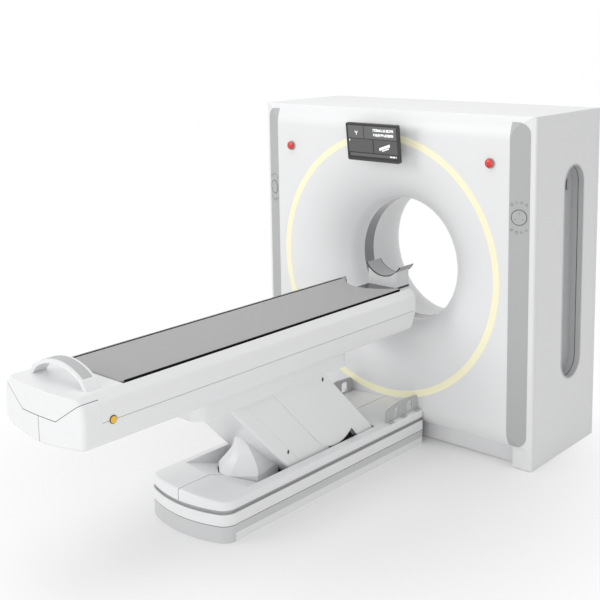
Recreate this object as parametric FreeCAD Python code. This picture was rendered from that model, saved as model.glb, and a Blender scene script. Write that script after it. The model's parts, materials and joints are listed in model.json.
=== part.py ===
import FreeCAD
import Part
import math
import os

V = FreeCAD.Vector

# A computed tomography scanner: a floor-standing gantry with a flared bore, and a
# patient couch on a parallelogram lift.  +X is to the right seen from the couch's foot
# end, +Y runs from the couch into the gantry and +Z is up.  The parts are drawn with
# Y = 0 at the gantry's front corners, then moved so that the origin is on the floor
# under the middle of the whole scanner.

# ---- gantry housing ----
GANTRY_W = 1824.0        # overall width
GANTRY_H = 1820.0        # overall height
GANTRY_D = 690.0         # front corners to back face
BULGE = 40.0             # how far the front face stands out ahead of the corners
FACE_X = GANTRY_W / 2.0 - 125.0      # half-width of the flat front face
CORNER_Y = 5.0           # where the slanted flank meets the side
CORNER_R = 14.0
BACK_R = 30.0
ROLL_TOP_Z = GANTRY_H - 120.0        # the front face rolls back above this height
ROLL_LOW_Z = 215.0       # and below this one
TOE_X = FACE_X + 16.0    # toe recess half-width
TOE_Y = 50.0
TOE_Z = 112.0
COVER_T = 6.0            # moulded cover thickness
FLOOR_GAP = 4.0          # covers clear of the floor
FRONT_SEAM = 30.0        # front cover meets the side and top covers
REAR_SEAM = 640.0
SEAM = 0.4               # gap between neighbouring covers
COVER_GAP = 1.2          # wider gap where the front and rear covers lift off
WIDE_SEAM = 2.0          # open joint between couch and base covers

# ---- bore ----
ISO_Z = 957.0            # height of the bore axis
BORE_R = 350.0
MOUTH_R = 697.0          # the front funnel leaves the flat face here
THROAT_Y = 200.0         # end of the funnel, start of the straight bore
THROAT_R = 130.0         # rounding where the funnel meets the bore
WINDOW_Y0 = 224.0
WINDOW_Y1 = 308.0
LINER_END_Y = 430.0
REAR_ARC_R = 380.0
RIM_R = 60.0
RING_R0 = 699.0          # light ring
RING_R1 = 737.0
RING_DEPTH = 3.0
RING_PROUD = 0.6

# ---- gantry fittings ----
STRIP_X1 = GANTRY_W / 2.0 - 28.0
STRIP_Z0 = 120.0
STRIP_Z1 = GANTRY_H - 28.0
STRIP_R = 60.0
STRIP_T = 1.5
DIAL_X = FACE_X + 48.0
DIAL_Z = 1320.0
DIAL_R = 42.0
DIAL_T = 1.5
STOP_X = FACE_X - 111.0
STOP_Z = ROLL_TOP_Z - 119.0
STOP_R = 22.5
STOP_COLLAR_R = 27.5
SCREEN_W = 350.0
SCREEN_H = 205.0
SCREEN_T = 22.0
SCREEN_Y = -138.0
SCREEN_Z = ISO_Z + 691.0
SCREEN_TILT = 6.0        # degrees, top leaning towards the viewer
RECESS_Y = 396.0         # pull recess in each side cover
RECESS_W = 203.0
RECESS_Z0 = 402.0
RECESS_Z1 = 1543.0
RECESS_DEPTH = 68.0
RECESS_WALL = 3.0
KNOB_Z = 1438.0
KNOB_R = 38.0

# ---- rotating frame ----
FRAME_ARM = 60.0         # arms of the stand that the covers hang on
FRAME_WAIST = 186.0      # the stand's plate is narrower than the covers by this each side
FRAME_SHOULDER = 114.0   # and widens this far below its top
STATOR_Y0 = 480.0
STATOR_Y1 = 520.0
STATOR_HOLE_R = 530.0
BEARING_R0 = 440.0
BEARING_RM = 500.0
BEARING_R1 = 560.0
DISK_R0 = 380.0
DISK_R1 = 690.0
DISK_Y0 = 400.0
DISK_Y1 = 438.0
TUBE_R = 95.0
TUBE_OFFSET = 560.0      # x-ray tube axis above the bore axis
RING_CLEAR = 0.3         # between turning and standing rings
PULLEY_X = FACE_X - 147.0
PULLEY_Z = 215.0
PULLEY_R = 60.0
BELT_T = 4.0
SHAFT_R = 12.0
RUN_FIT = 0.05           # radial clearance of a pin in its bore

# ---- widths that nest in the base, from the outside in ----
BASE_HALF = 262.0
BOWL_HALF = BASE_HALF - 50.0
OUTER_WALL_X = BOWL_HALF - 10.5      # rear link cover
INNER_WALL_X = OUTER_WALL_X - 4.5    # front link cover, inside the rear one
ARM_X1 = INNER_WALL_X - 2.0          # link arms
ARM_X0 = ARM_X1 - 35.0
STAND_X1 = ARM_X0 - 5.0              # pivot plates inside the arms
STAND_X0 = STAND_X1 - 35.0
WELL_HALF = OUTER_WALL_X + 6.5       # opening under the pod for the links
POD_HALF = WELL_HALF + 17.0

# ---- lift linkage (Y, Z of its pivots with the couch raised) ----
FRONT_PIVOT = (-905.0, 120.0)
REAR_PIVOT = (-417.0, 120.0)
LINK_L = 703.0
LINK_ANGLE = 46.5        # degrees above the floor
ARM_HALF = 45.0
PIN_R = 15.0
OPEN_PIVOT_FIT = 1.0     # radial clearance at the upper rear pivot
WALL_T = 3.5
CORNER_TURN = 14.0       # rounding of the front cover's long corners
FRONT_EDGE = 55.0        # cover edge ahead of the link's centre line
REAR_EDGE = 57.0
REAR_REACH = 211.0       # the outer cover's plates reach this far forward
FRONT_REACH = 165.0      # the inner cover's plates reach this far back
BOOT_Y = -1280.0         # nose of the boot where it meets the bowl floor
BOOT_SIDE_Y = -1186.0
# Boot sections: height, nose Y, nose half-width, side half-width and its Y, half-width
# at the web.
BOOT_SECTIONS = (
    (176.0, -1280.0, 27.0, 134.0, -1186.0, 103.0), (196.0, -1248.0, 25.5, 121.0, -1172.0, 93.0),
    (222.0, -1221.0, 24.0, 100.0, -1162.0, 80.0), (270.0, -1194.0, 22.0, 64.0, -1158.0, 57.0),
    (334.0, -1181.0, 19.0, 26.0, -1178.0, 25.0))

# ---- couch base ----
BASE_CORNER_Y = -1500.0  # where the bowed front would meet the sides
BASE_CORNER_R = 72.0
BASE_FRONT_Y = -1561.0
BASE_SIDE_Y = -1456.0    # the side plinths start here
BASE_END_Y = -41.0
CROWN_Z = 209.0          # cover top at the centre seam
RIM_Z = 190.0            # and at the sides
GROOVE_Z1 = 155.0
GROOVE_Z0 = 136.0
BAND_Z0 = 81.0
SKIRT_Z = 78.5
PLINTH_Z = 40.0
BOWL_Y = -1310.0         # the bowl floor is at the rim height here
BOWL_SLOPE = 0.34
WELL_Y0 = -1060.0
WELL_Y1 = -395.0
BASE_T = 5.0

# ---- couch ----
MAT_HALF = 200.0
MAT_TOP = 885.0
MAT_T = 16.0
TOP_FOOT_Y = -2005.0     # foot end of mat and tabletop
MAT_END_Y = -152.0       # corners of the head end
NOTCH_Y = -262.0         # deepest point of its hollowed edge
TONGUE_END_Y = 62.0      # tabletop tongue that carries the head holder
SLOT_X = 222.0           # inner edge of the side rails
SHOULDER_Z = 880.0
PANEL_X = 271.0          # widest point, at the panel line
PANEL_Z = 768.0
SIDE_Z = 672.0
KEEL_Z = 645.0
NOSE_Y = -2259.0
NOSE_CORNER_Y = -2237.0
NOSE_SEAM_Y = -2150.0
COUCH_END_Y = -97.0
COUCH_T = 5.0
POD_Y0 = -1625.0
POD_Y1 = -608.0
POD_Z = 590.0
RAIL_Z = 834.6           # running face of the guide rails
FRAME_TOP = 815.0
HEAD_R = 134.0
HEAD_Z = 905.0           # lowest point of the head holder
HEAD_Y0 = -48.0          # ends of the head holder
HEAD_Y1 = 72.0
HEAD_SWEEP = 57.0        # degrees each side
HANDLE_Y = -2130.0
HANDLE_BAND = 34.0       # half-width of the grab band
HANDLE_TOP = 968.0
HANDLE_HALF = 197.0
BUTTON_Y = -2100.0
BUTTON_Z = 770.0
BUTTON_R = 14.0
BEZEL_R = 17.0
NOSE_R = 22.0            # rounding of the nose's upright edges

SHIFT_Y = -(NOSE_Y + GANTRY_D) / 2.0


# ---- helpers ----
def save(node, *solids):
    """Write one node, moved to the scanner's own origin."""
    shape = solids[0] if len(solids) == 1 else Part.makeCompound(list(solids))
    shape = shape.copy()
    shape.translate(V(0.0, SHIFT_Y, 0.0))
    shape.exportStep("parts/" + node + ".step")


def corner(previous, point, following, radius):
    """Tangent points and middle of the arc that rounds a corner."""
    back = (previous - point).normalize()
    ahead = (following - point).normalize()
    half = back.getAngle(ahead) / 2.0
    bisector = (back + ahead).normalize()
    run = radius / math.tan(half)
    centre = point + bisector * (radius / math.sin(half))
    return point + back * run, centre - bisector * radius, point + ahead * run


def outline(items, at):
    """Closed wire of (a, b) and (a, b, radius) corners and ("via", a, b) arc points."""
    plain = [it for it in items if it[0] != "via"]
    spots = [at(it[0], it[1]) for it in plain]
    rounds = []
    for i, it in enumerate(plain):
        spot = spots[i]
        if len(it) == 3:
            following = spots[(i + 1) % len(spots)]
            rounds.append(corner(spots[i - 1], spot, following, it[2]))
        else:
            rounds.append((spot, None, spot))
    edges = []
    index = -1
    for n, it in enumerate(items):
        if it[0] == "via":
            continue
        index += 1
        first, middle, last = rounds[index]
        if middle is not None:
            edges.append(Part.Arc(first, middle, last).toShape())
        after = items[(n + 1) % len(items)]
        target = rounds[(index + 1) % len(rounds)][0]
        if after[0] == "via":
            edges.append(Part.Arc(last, at(after[1], after[2]), target).toShape())
        elif (target - last).Length > 1e-6:
            edges.append(Part.makeLine(last, target))
    return Part.Wire(edges)


def prism_x(items, x0, x1):
    """Outline in (y, z), swept along X."""
    face = Part.Face(outline(items, lambda a, b: V(x0, a, b)))
    return face.extrude(V(x1 - x0, 0.0, 0.0))


def prism_y(items, y0, y1):
    """Outline in (x, z), swept along Y."""
    face = Part.Face(outline(items, lambda a, b: V(a, y0, b)))
    return face.extrude(V(0.0, y1 - y0, 0.0))


def prism_z(items, z0, z1):
    """Outline in (x, y), swept along Z."""
    face = Part.Face(outline(items, lambda a, b: V(a, b, z0)))
    return face.extrude(V(0.0, 0.0, z1 - z0))


def box(x0, x1, y0, y1, z0, z1):
    return Part.makeBox(x1 - x0, y1 - y0, z1 - z0, V(x0, y0, z0))


def rod_x(radius, x0, x1, y, z):
    return Part.makeCylinder(radius, x1 - x0, V(x0, y, z), V(1, 0, 0))


def rod_y(radius, x, y0, y1, z):
    return Part.makeCylinder(radius, y1 - y0, V(x, y0, z), V(0, 1, 0))


def rod_z(radius, x, y, z0, z1):
    return Part.makeCylinder(radius, z1 - z0, V(x, y, z0))


def ring(r_in, r_out, y0, y1):
    """Ring about the bore axis."""
    return rod_y(r_out, 0.0, y0, y1, ISO_Z).cut(rod_y(r_in, 0.0, y0, y1, ISO_Z))


def turned(items):
    """Outline in (radius, y), revolved about the bore axis."""
    face = Part.Face(outline(items, lambda a, b: V(a, b, ISO_Z)))
    return face.revolve(V(0, 0, ISO_Z), V(0, 1, 0), 360.0)


def mirrored(shape):
    return shape.mirror(V(0, 0, 0), V(1, 0, 0))


def fused(*shapes):
    return shapes[0].fuse(list(shapes[1:])).removeSplitter()


def both(shape):
    """A right-hand shape and its left-hand twin."""
    return [shape, mirrored(shape)]


def stadium(y, half, z0, z1):
    """Upright slot outline in (y, z) with full round ends."""
    return [(y - half, z0 + half), ("via", y, z0), (y + half, z0 + half),
            (y + half, z1 - half), ("via", y, z1), (y - half, z1 - half)]


def roll_mid(y0, z0, y1, z1):
    """Middle of the arc that leaves (y0, z0) upright and ends at (y1, z1)."""
    across = y1 - y0
    along = z1 - z0
    radius = (across ** 2 + along ** 2) / (2.0 * across)
    half = math.atan2(abs(along), radius - across) / 2.0
    rise = math.copysign(radius * math.sin(half), along)
    return y0 + radius * (1.0 - math.cos(half)), z0 + rise


# ---- gantry housing ----
def gantry_block(inset):
    """The housing's outer form, or the space inside it at an inset."""
    front = inset - BULGE
    side = GANTRY_W / 2.0 - inset
    back = GANTRY_D - inset
    top = GANTRY_H - inset
    edge = CORNER_Y + inset
    floor = FLOOR_GAP if inset == 0.0 else -20.0
    plan = prism_z([(-FACE_X, front), (FACE_X, front), (side, edge, CORNER_R),
                    (side, back, BACK_R - inset), (-side, back, BACK_R - inset),
                    (-side, edge, CORNER_R)], floor, top)
    high = roll_mid(front, ROLL_TOP_Z, inset, top)
    low = roll_mid(front, ROLL_LOW_Z, inset, TOE_Z + inset)
    profile = prism_x([(front, ROLL_LOW_Z), (front, ROLL_TOP_Z), ("via",) + high,
                       (inset, top), (back, top, BACK_R - inset), (back, floor),
                       (inset, floor), (inset, TOE_Z + inset), ("via",) + low],
                      -side - 10.0, side + 10.0)
    toe = box(-TOE_X - inset, TOE_X + inset, -BULGE - 10.0, TOE_Y + inset,
              floor - 20.0, TOE_Z + inset)
    return plan.common(profile).cut(toe)


def funnel_arcs(inset):
    """Throat point, join and mouth point of the bell mouth, with the arcs' middles."""
    rise = THROAT_Y + BULGE
    run = MOUTH_R - BORE_R
    big = (run ** 2 + rise ** 2 - 2.0 * run * THROAT_R) / (2.0 * (rise - THROAT_R))
    small_c = (BORE_R + THROAT_R, THROAT_Y)
    big_c = (MOUTH_R, big - BULGE)
    tilt = math.atan2(big_c[1] - small_c[1], big_c[0] - small_c[0])
    small_r = THROAT_R - inset
    big_r = big - inset

    def on(centre, radius, angle):
        return (centre[0] - radius * math.cos(angle), centre[1] - radius * math.sin(angle))

    throat = (small_c[0] - small_r, THROAT_Y)
    join = on(small_c, small_r, tilt)
    mouth = (MOUTH_R, big_c[1] - big_r)
    low = on(small_c, small_r, tilt / 2.0)
    high = on(big_c, big_r, (tilt + math.pi / 2.0) / 2.0)
    return throat, low, join, high, mouth


def front_funnel():
    """The moulded bell mouth with its short straight lip, one wall thick."""
    throat, low, join, high, mouth = funnel_arcs(0.0)
    throat_b, low_b, join_b, high_b, mouth_b = funnel_arcs(COVER_T)
    return turned([(throat[0], WINDOW_Y0), throat, ("via",) + low, join,
                   ("via",) + high, mouth, mouth_b, ("via",) + high_b, join_b,
                   ("via",) + low_b, throat_b, (throat_b[0], WINDOW_Y0)])


def rear_flare():
    """The rear mouth: a wide arc, then a tight rim that meets the back face."""
    big_c = (BORE_R + REAR_ARC_R, LINER_END_Y)
    rim_y = GANTRY_D - RIM_R
    span = REAR_ARC_R - RIM_R
    rim_x = big_c[0] - math.sqrt(span ** 2 - (rim_y - big_c[1]) ** 2)
    tilt = math.atan2(rim_y - big_c[1], big_c[0] - rim_x)

    def curve(inset):
        big = REAR_ARC_R - inset
        small = RIM_R - inset
        start = (big_c[0] - big, LINER_END_Y)
        mid = (big_c[0] - big * math.cos(tilt / 2.0), big_c[1] + big * math.sin(tilt / 2.0))
        join = (rim_x - small * math.cos(tilt), rim_y + small * math.sin(tilt))
        turn = (tilt + math.pi / 2.0) / 2.0
        bend = (rim_x - small * math.cos(turn), rim_y + small * math.sin(turn))
        end = (rim_x, rim_y + small)
        return start, mid, join, bend, end

    a = curve(0.0)
    b = curve(COVER_T)
    flare = turned([a[0], ("via",) + a[1], a[2], ("via",) + a[3], a[4],
                    b[4], ("via",) + b[3], b[2], ("via",) + b[1], b[0]])
    return flare, rim_x


def stop_spots():
    return [(-STOP_X, STOP_Z), (STOP_X, STOP_Z)]


def flank_frame(side):
    """Centre and outward normal of a control dial on the slanted flank."""
    run = GANTRY_W / 2.0 - FACE_X
    rise = CORNER_Y + BULGE
    length = math.hypot(run, rise)
    y = -BULGE + (DIAL_X - FACE_X) * rise / run
    return V(side * DIAL_X, y, DIAL_Z), V(side * rise / length, -run / length, 0.0)


def dial_hole(side, radius):
    centre, normal = flank_frame(side)
    return Part.makeCylinder(radius, 40.0, centre + normal * 15.0, normal * -1.0)


def front_cover(shell):
    piece = shell.common(box(-GANTRY_W, GANTRY_W, -BULGE - 5.0, FRONT_SEAM - COVER_GAP, 0.0,
                             GANTRY_H + 5.0))
    lip = shell.common(box(-TOE_X, TOE_X, 0.0, TOE_Y + COVER_T, TOE_Z, TOE_Z + COVER_T))
    piece = piece.fuse(lip)
    piece = piece.cut(rod_y(MOUTH_R, 0.0, -BULGE - 5.0, FRONT_SEAM + 60.0, ISO_Z))
    piece = piece.cut(ring(RING_R0, RING_R1, -BULGE - 5.0, RING_DEPTH - BULGE))
    for x, z in stop_spots():
        piece = piece.cut(rod_y(STOP_R / 2.0, x, -BULGE - 5.0, 0.0, z))
    for side in (-1, 1):
        piece = piece.cut(dial_hole(side, 8.5))
    return fused(piece, front_funnel())


def gantry_covers():
    shell = gantry_block(0.0).cut(gantry_block(COVER_T))
    save("front_cover", front_cover(shell))
    flare, rim_r = rear_flare()
    back = shell.common(box(-GANTRY_W, GANTRY_W, REAR_SEAM + COVER_GAP, GANTRY_D + 5.0, 0.0,
                            GANTRY_H + 5.0))
    back = back.cut(rod_y(rim_r, 0.0, REAR_SEAM, GANTRY_D + 5.0, ISO_Z))
    save("rear_cover", fused(back, flare))
    inner = GANTRY_W / 2.0 - COVER_T
    save("top_cover", box(-inner + SEAM, inner - SEAM, FRONT_SEAM, REAR_SEAM,
                          GANTRY_H - COVER_T, GANTRY_H))
    side = box(inner, inner + COVER_T, FRONT_SEAM, REAR_SEAM, FLOOR_GAP, GANTRY_H)
    half = RECESS_W / 2.0
    side = side.cut(prism_x(stadium(RECESS_Y, half, RECESS_Z0, RECESS_Z1),
                            inner - 5.0, inner + 15.0))
    save("side_cover_right", side)
    save("side_cover_left", mirrored(side))
    save("toe_kick", box(-TOE_X, TOE_X, TOE_Y, TOE_Y + COVER_T, FLOOR_GAP, TOE_Z))
    return shell


def pull_recess():
    """The moulded tub behind the opening in the right side cover, with its rim."""
    outer = GANTRY_W / 2.0
    half = RECESS_W / 2.0
    z0 = RECESS_Z0
    z1 = RECESS_Z1
    wall = RECESS_WALL
    body = prism_x(stadium(RECESS_Y, half, z0, z1), outer - RECESS_DEPTH, outer)
    rim = prism_x(stadium(RECESS_Y, half + 6.0, z0 - 6.0, z1 + 6.0), outer, outer + 1.5)
    hollow = prism_x(stadium(RECESS_Y, half - wall, z0 + wall, z1 - wall),
                     outer - RECESS_DEPTH + wall, outer + 5.0)
    tub = fused(body, rim).cut(hollow)
    bore = rod_x(10.0 + RUN_FIT, outer - RECESS_DEPTH - 5.0, outer, RECESS_Y - 12.0, KNOB_Z)
    return tub.cut(bore)


def lock_knob():
    """Round latch knob in the top of the pull recess, with a finger bar across it."""
    floor = GANTRY_W / 2.0 - RECESS_DEPTH + RECESS_WALL
    y = RECESS_Y - 12.0
    disc = rod_x(KNOB_R, floor + 0.5, floor + 16.0, y, KNOB_Z)
    disc = disc.makeFillet(4.0, [e for e in disc.Edges
                                 if e.Closed and abs(e.CenterOfMass.x - floor - 16.0) < 0.1])
    grip = prism_x([(y - 9.0, KNOB_Z - 30.0, 8.9), (y + 9.0, KNOB_Z - 30.0, 8.9),
                    (y + 9.0, KNOB_Z + 30.0, 8.9), (y - 9.0, KNOB_Z + 30.0, 8.9)],
                   floor + 16.0, floor + 34.0)
    stem = rod_x(10.0, floor - 14.0, floor + 2.0, y, KNOB_Z)
    return fused(disc, grip, stem)


def control_strip(side):
    """Thin panel laid over the slanted flank, following the housing's own form."""
    skin = gantry_block(-STRIP_T).cut(gantry_block(0.0))
    mask = prism_y([(FACE_X + 1.0, STRIP_Z0), (STRIP_X1, STRIP_Z0, STRIP_R),
                    (STRIP_X1, STRIP_Z1, STRIP_R), (FACE_X + 1.0, STRIP_Z1)],
                   -BULGE - 20.0, 12.0)
    strip = skin.common(mask).cut(dial_hole(1, 8.5))
    return strip if side > 0 else mirrored(strip)


def control_dial(side):
    centre, normal = flank_frame(side)
    seat = centre + normal * (STRIP_T + 0.35)
    disc = Part.makeCylinder(DIAL_R, DIAL_T, seat, normal)
    stem = Part.makeCylinder(8.0, 18.0, seat + normal * 1.0, normal * -1.0)
    return fused(disc, stem)


def stop_button(x, z):
    """Mushroom push button; its stem slides in the collar."""
    cap = turned_at(x, z, [(0.0, -61.0), ("via", STOP_R * 0.62, -59.5), (STOP_R, -56.0),
                           (STOP_R, -52.0), (0.0, -52.0)])
    return fused(cap, rod_y(8.0, x, -53.0, -30.0, z))


def turned_at(x, z, items):
    """Outline in (radius, y), revolved about an axis along Y through (x, z)."""
    face = Part.Face(outline(items, lambda a, b: V(x + a, b, z)))
    return face.revolve(V(x, 0, z), V(0, 1, 0), 360.0)


def stop_collar(x, z):
    return rod_y(STOP_COLLAR_R, x, -45.0, -BULGE, z).cut(
        rod_y(8.0 + RUN_FIT, x, -60.0, -BULGE + 5.0, z))


def display():
    """Tilted screen housing on a short neck, with a glass set in its face."""
    w = SCREEN_W / 2.0
    h = SCREEN_H / 2.0
    case = prism_y([(-w, -h, 9.0), (w, -h, 9.0), (w, h, 9.0), (-w, h, 9.0)], 0.0, SCREEN_T)
    shelf = prism_y([(-w + 5.0, -h + 12.0, 5.0), (w - 5.0, -h + 12.0, 5.0),
                     (w - 5.0, h - 6.0, 5.0), (-w + 5.0, h - 6.0, 5.0)], -1.0, 2.0)
    glass = prism_y([(-w + 5.0, -h + 12.0, 5.0), (w - 5.0, -h + 12.0, 5.0),
                     (w - 5.0, h - 6.0, 5.0), (-w + 5.0, h - 6.0, 5.0)], 0.3, 2.0)
    case = case.cut(shelf)
    for part in (case, glass):
        part.rotate(V(0, 0, 0), V(1, 0, 0), SCREEN_TILT)
        part.translate(V(0.0, SCREEN_Y, SCREEN_Z))
    neck = prism_y([(-60.0, SCREEN_Z - 45.0, 10.0), (60.0, SCREEN_Z - 45.0, 10.0),
                    (60.0, SCREEN_Z + 35.0, 10.0), (-60.0, SCREEN_Z + 35.0, 10.0)],
                   SCREEN_Y + 14.0, -BULGE)
    neck = neck.cut(ring(RING_R0, RING_R1, -BULGE - RING_PROUD, RING_DEPTH - BULGE))
    return fused(case, neck), glass


def gantry_fittings():
    save("control_strips", control_strip(1), control_strip(-1))
    save("control_dials", control_dial(1), control_dial(-1))
    ring_face = ring(RING_R0, RING_R1, -BULGE - RING_PROUD, RING_DEPTH - BULGE)
    case, glass = display()
    save("light_ring", ring_face)
    save("display_housing", case)
    save("display_glass", glass)
    save("stop_collars", *[stop_collar(x, z) for x, z in stop_spots()])
    save("stop_button_left", stop_button(-STOP_X, STOP_Z))
    save("stop_button_right", stop_button(STOP_X, STOP_Z))
    recess = pull_recess()
    save("pull_recesses", *both(recess))
    save("lock_knob_right", lock_knob())
    save("lock_knob_left", mirrored(lock_knob()))
    save("scan_window", ring(BORE_R + 0.5, BORE_R + 4.0, WINDOW_Y0, WINDOW_Y1))
    save("bore_liner", ring(BORE_R, BORE_R + COVER_T, WINDOW_Y1, LINER_END_Y))


# ---- inside the gantry ----
def gantry_frame():
    """Welded stand: a bored plate on two floor rails, with arms out to the covers."""
    inner = GANTRY_W / 2.0 - COVER_T
    top = GANTRY_H - COVER_T
    waist = inner - FRAME_WAIST
    high = top - FRAME_SHOULDER
    plate = prism_y([(-inner, 30.0), (inner, 30.0), (inner, 380.0), (waist, 520.0),
                     (waist, high - 140.0), (inner, high), (inner, top), (-inner, top),
                     (-inner, high), (-waist, high - 140.0), (-waist, 520.0),
                     (-inner, 380.0)], STATOR_Y0, STATOR_Y1)
    plate = plate.cut(rod_y(STATOR_HOLE_R, 0.0, STATOR_Y0, STATOR_Y1, ISO_Z))
    parts = [plate]
    rail = box(FACE_X - 187.0, FACE_X - 27.0, TOE_Y + COVER_T, GANTRY_D + 10.0, 30.0, 130.0)
    parts.extend(both(rail))
    for z0, z1 in ((top - FRAME_ARM, top), (30.0, 110.0)):
        parts.extend(both(box(inner - FRAME_ARM, inner, -BULGE, GANTRY_D + 10.0, z0, z1)))
    return fused(*parts).common(gantry_block(COVER_T))


def levelling_feet():
    feet = []
    for x in (107.0 - FACE_X, FACE_X - 107.0):
        for y in (120.0, 620.0):
            foot = fused(rod_z(45.0, x, y, 0.0, 12.0), rod_z(14.0, x, y, 12.0, 30.0))
            feet.append(foot)
    return feet


def slip_ring():
    """Insulated drum with four brass tracks standing between its ribs."""
    drum = ring(392.0, 430.0, DISK_Y1, 590.0)
    ribs = [ring(429.0, 436.0, y, y + 14.0) for y in (500.0, 524.0, 548.0, 572.0)]
    return fused(drum, *ribs)


def rotor_disk():
    disk = ring(DISK_R0, DISK_R1, DISK_Y0, DISK_Y1)
    for n in range(6):
        angle = math.radians(30.0 + 60.0 * n)
        x = 612.0 * math.cos(angle)
        z = ISO_Z + 612.0 * math.sin(angle)
        disk = disk.cut(rod_y(42.0, x, DISK_Y0, DISK_Y1, z))
    return disk


def xray_tube():
    z = ISO_Z + TUBE_OFFSET
    tank = rod_y(TUBE_R, 0.0, 175.0, 360.0, z)
    collar = rod_y(TUBE_R * 0.7, 0.0, 355.0, DISK_Y0, z)
    return fused(tank, collar)


def collimator():
    z = ISO_Z + TUBE_OFFSET
    block = box(-70.0, 70.0, 215.0, 320.0, ISO_Z + 400.0, ISO_Z + 480.0)
    return block.cut(rod_y(TUBE_R, 0.0, 175.0, 360.0, z))


def detector_array():
    """Curved detector housing opposite the tube."""
    sweep = math.radians(28.0)
    arcs = []
    for radius, turn in ((480.0, 1.0), (560.0, -1.0)):
        for angle in (-sweep * turn, 0.0, sweep * turn):
            arcs.append((radius * math.sin(angle), ISO_Z - radius * math.cos(angle)))
    a, b, c, d, e, f = arcs
    return prism_y([a, ("via",) + b, c, d, ("via",) + e, f], 210.0, DISK_Y0)


def drive_motor():
    motor = rod_y(75.0, PULLEY_X, 260.0, 400.0, PULLEY_Z)
    foot = box(PULLEY_X - 60.0, PULLEY_X + 60.0, 270.0, 390.0, 130.0, PULLEY_Z)
    return fused(motor, foot, rod_y(SHAFT_R, PULLEY_X, 399.0, 440.0, PULLEY_Z))


def drive_belt():
    """Flat belt round the rotor's rim and the motor pulley."""
    centre = V(0.0, 0.0, ISO_Z)
    pulley = V(PULLEY_X, 0.0, PULLEY_Z)
    away = (pulley - centre)
    span = away.Length
    heading = math.atan2(away.z, away.x)

    def loop(grow):
        big = DISK_R1 + RING_CLEAR + grow
        small = PULLEY_R + RING_CLEAR + grow
        lean = math.acos((big - small) / span)

        def on(middle, radius, angle):
            return (middle.x + radius * math.cos(angle), middle.z + radius * math.sin(angle))

        return [on(centre, big, heading + lean), ("via",) + on(centre, big, heading + math.pi),
                on(centre, big, heading - lean), on(pulley, small, heading - lean),
                ("via",) + on(pulley, small, heading), on(pulley, small, heading + lean)]

    outer = prism_y(loop(BELT_T), 408.0, 430.0)
    return outer.cut(prism_y(loop(0.0), 400.0, 440.0))


def gantry_inside():
    save("gantry_frame", gantry_frame())
    save("levelling_feet", *levelling_feet())
    save("bearing_outer", ring(BEARING_RM, BEARING_R1, DISK_Y1 + 2.0, STATOR_Y0))
    save("bearing_inner", ring(BEARING_R0, BEARING_RM - RING_CLEAR, DISK_Y1, STATOR_Y0))
    save("rotor_disk", rotor_disk())
    save("slip_ring", slip_ring())
    save("xray_tube", xray_tube())
    save("collimator", collimator())
    save("detector_array", detector_array())
    save("hv_generator", box(-655.0, -470.0, 205.0, DISK_Y0, ISO_Z - 120.0, ISO_Z + 120.0))
    save("drive_motor", drive_motor())
    save("drive_belt", drive_belt())
    save("motor_pulley", rod_y(PULLEY_R, PULLEY_X, 405.0, 433.0, PULLEY_Z).cut(
        rod_y(SHAFT_R + RUN_FIT, PULLEY_X, 400.0, 440.0, PULLEY_Z)))


# ---- couch base ----
def base_plan(inset, y_end):
    """Plan of the base: straight sides, a bowed front and rounded corners between."""
    half = BASE_HALF - inset
    bow = BASE_FRONT_Y + inset
    rise = BASE_CORNER_Y - BASE_FRONT_Y
    big = (BASE_HALF ** 2 + rise ** 2) / (2.0 * rise) - inset
    small = BASE_CORNER_R - inset
    middle_y = bow + big
    corner_x = half - small
    corner_y = middle_y - math.sqrt((big - small) ** 2 - corner_x ** 2)
    turn = math.atan2(corner_x, middle_y - corner_y)
    join = (corner_x + small * math.sin(turn), corner_y - small * math.cos(turn))
    half_turn = (turn + math.pi / 2.0) / 2.0
    bend = (corner_x + small * math.sin(half_turn), corner_y - small * math.cos(half_turn))
    return [(half, y_end), (half, corner_y), ("via",) + bend, join, ("via", 0.0, bow),
            (-join[0], join[1]), ("via", -bend[0], bend[1]), (-half, corner_y), (-half, y_end)]


def crown(inset, z0):
    """Front view of the domed top, carried on past the sides that the plan cuts."""
    half = BASE_HALF - inset
    rise = CROWN_Z - RIM_Z
    radius = (half ** 2 + rise ** 2) / (2.0 * rise)
    wide = half + 10.0
    low = CROWN_Z - inset - radius + math.sqrt(radius ** 2 - wide ** 2)
    return [(-wide, z0), (wide, z0), (wide, low), ("via", 0.0, CROWN_Z - inset), (-wide, low)]


def base_form(inset, z0):
    plan = prism_z(base_plan(inset, BASE_END_Y), z0, CROWN_Z + 5.0)
    return plan.common(prism_y(crown(inset, z0), BASE_FRONT_Y - 5.0, BASE_END_Y))


def bowl_floor_z(y):
    return RIM_Z - BOWL_SLOPE * (y - BOWL_Y)


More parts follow.
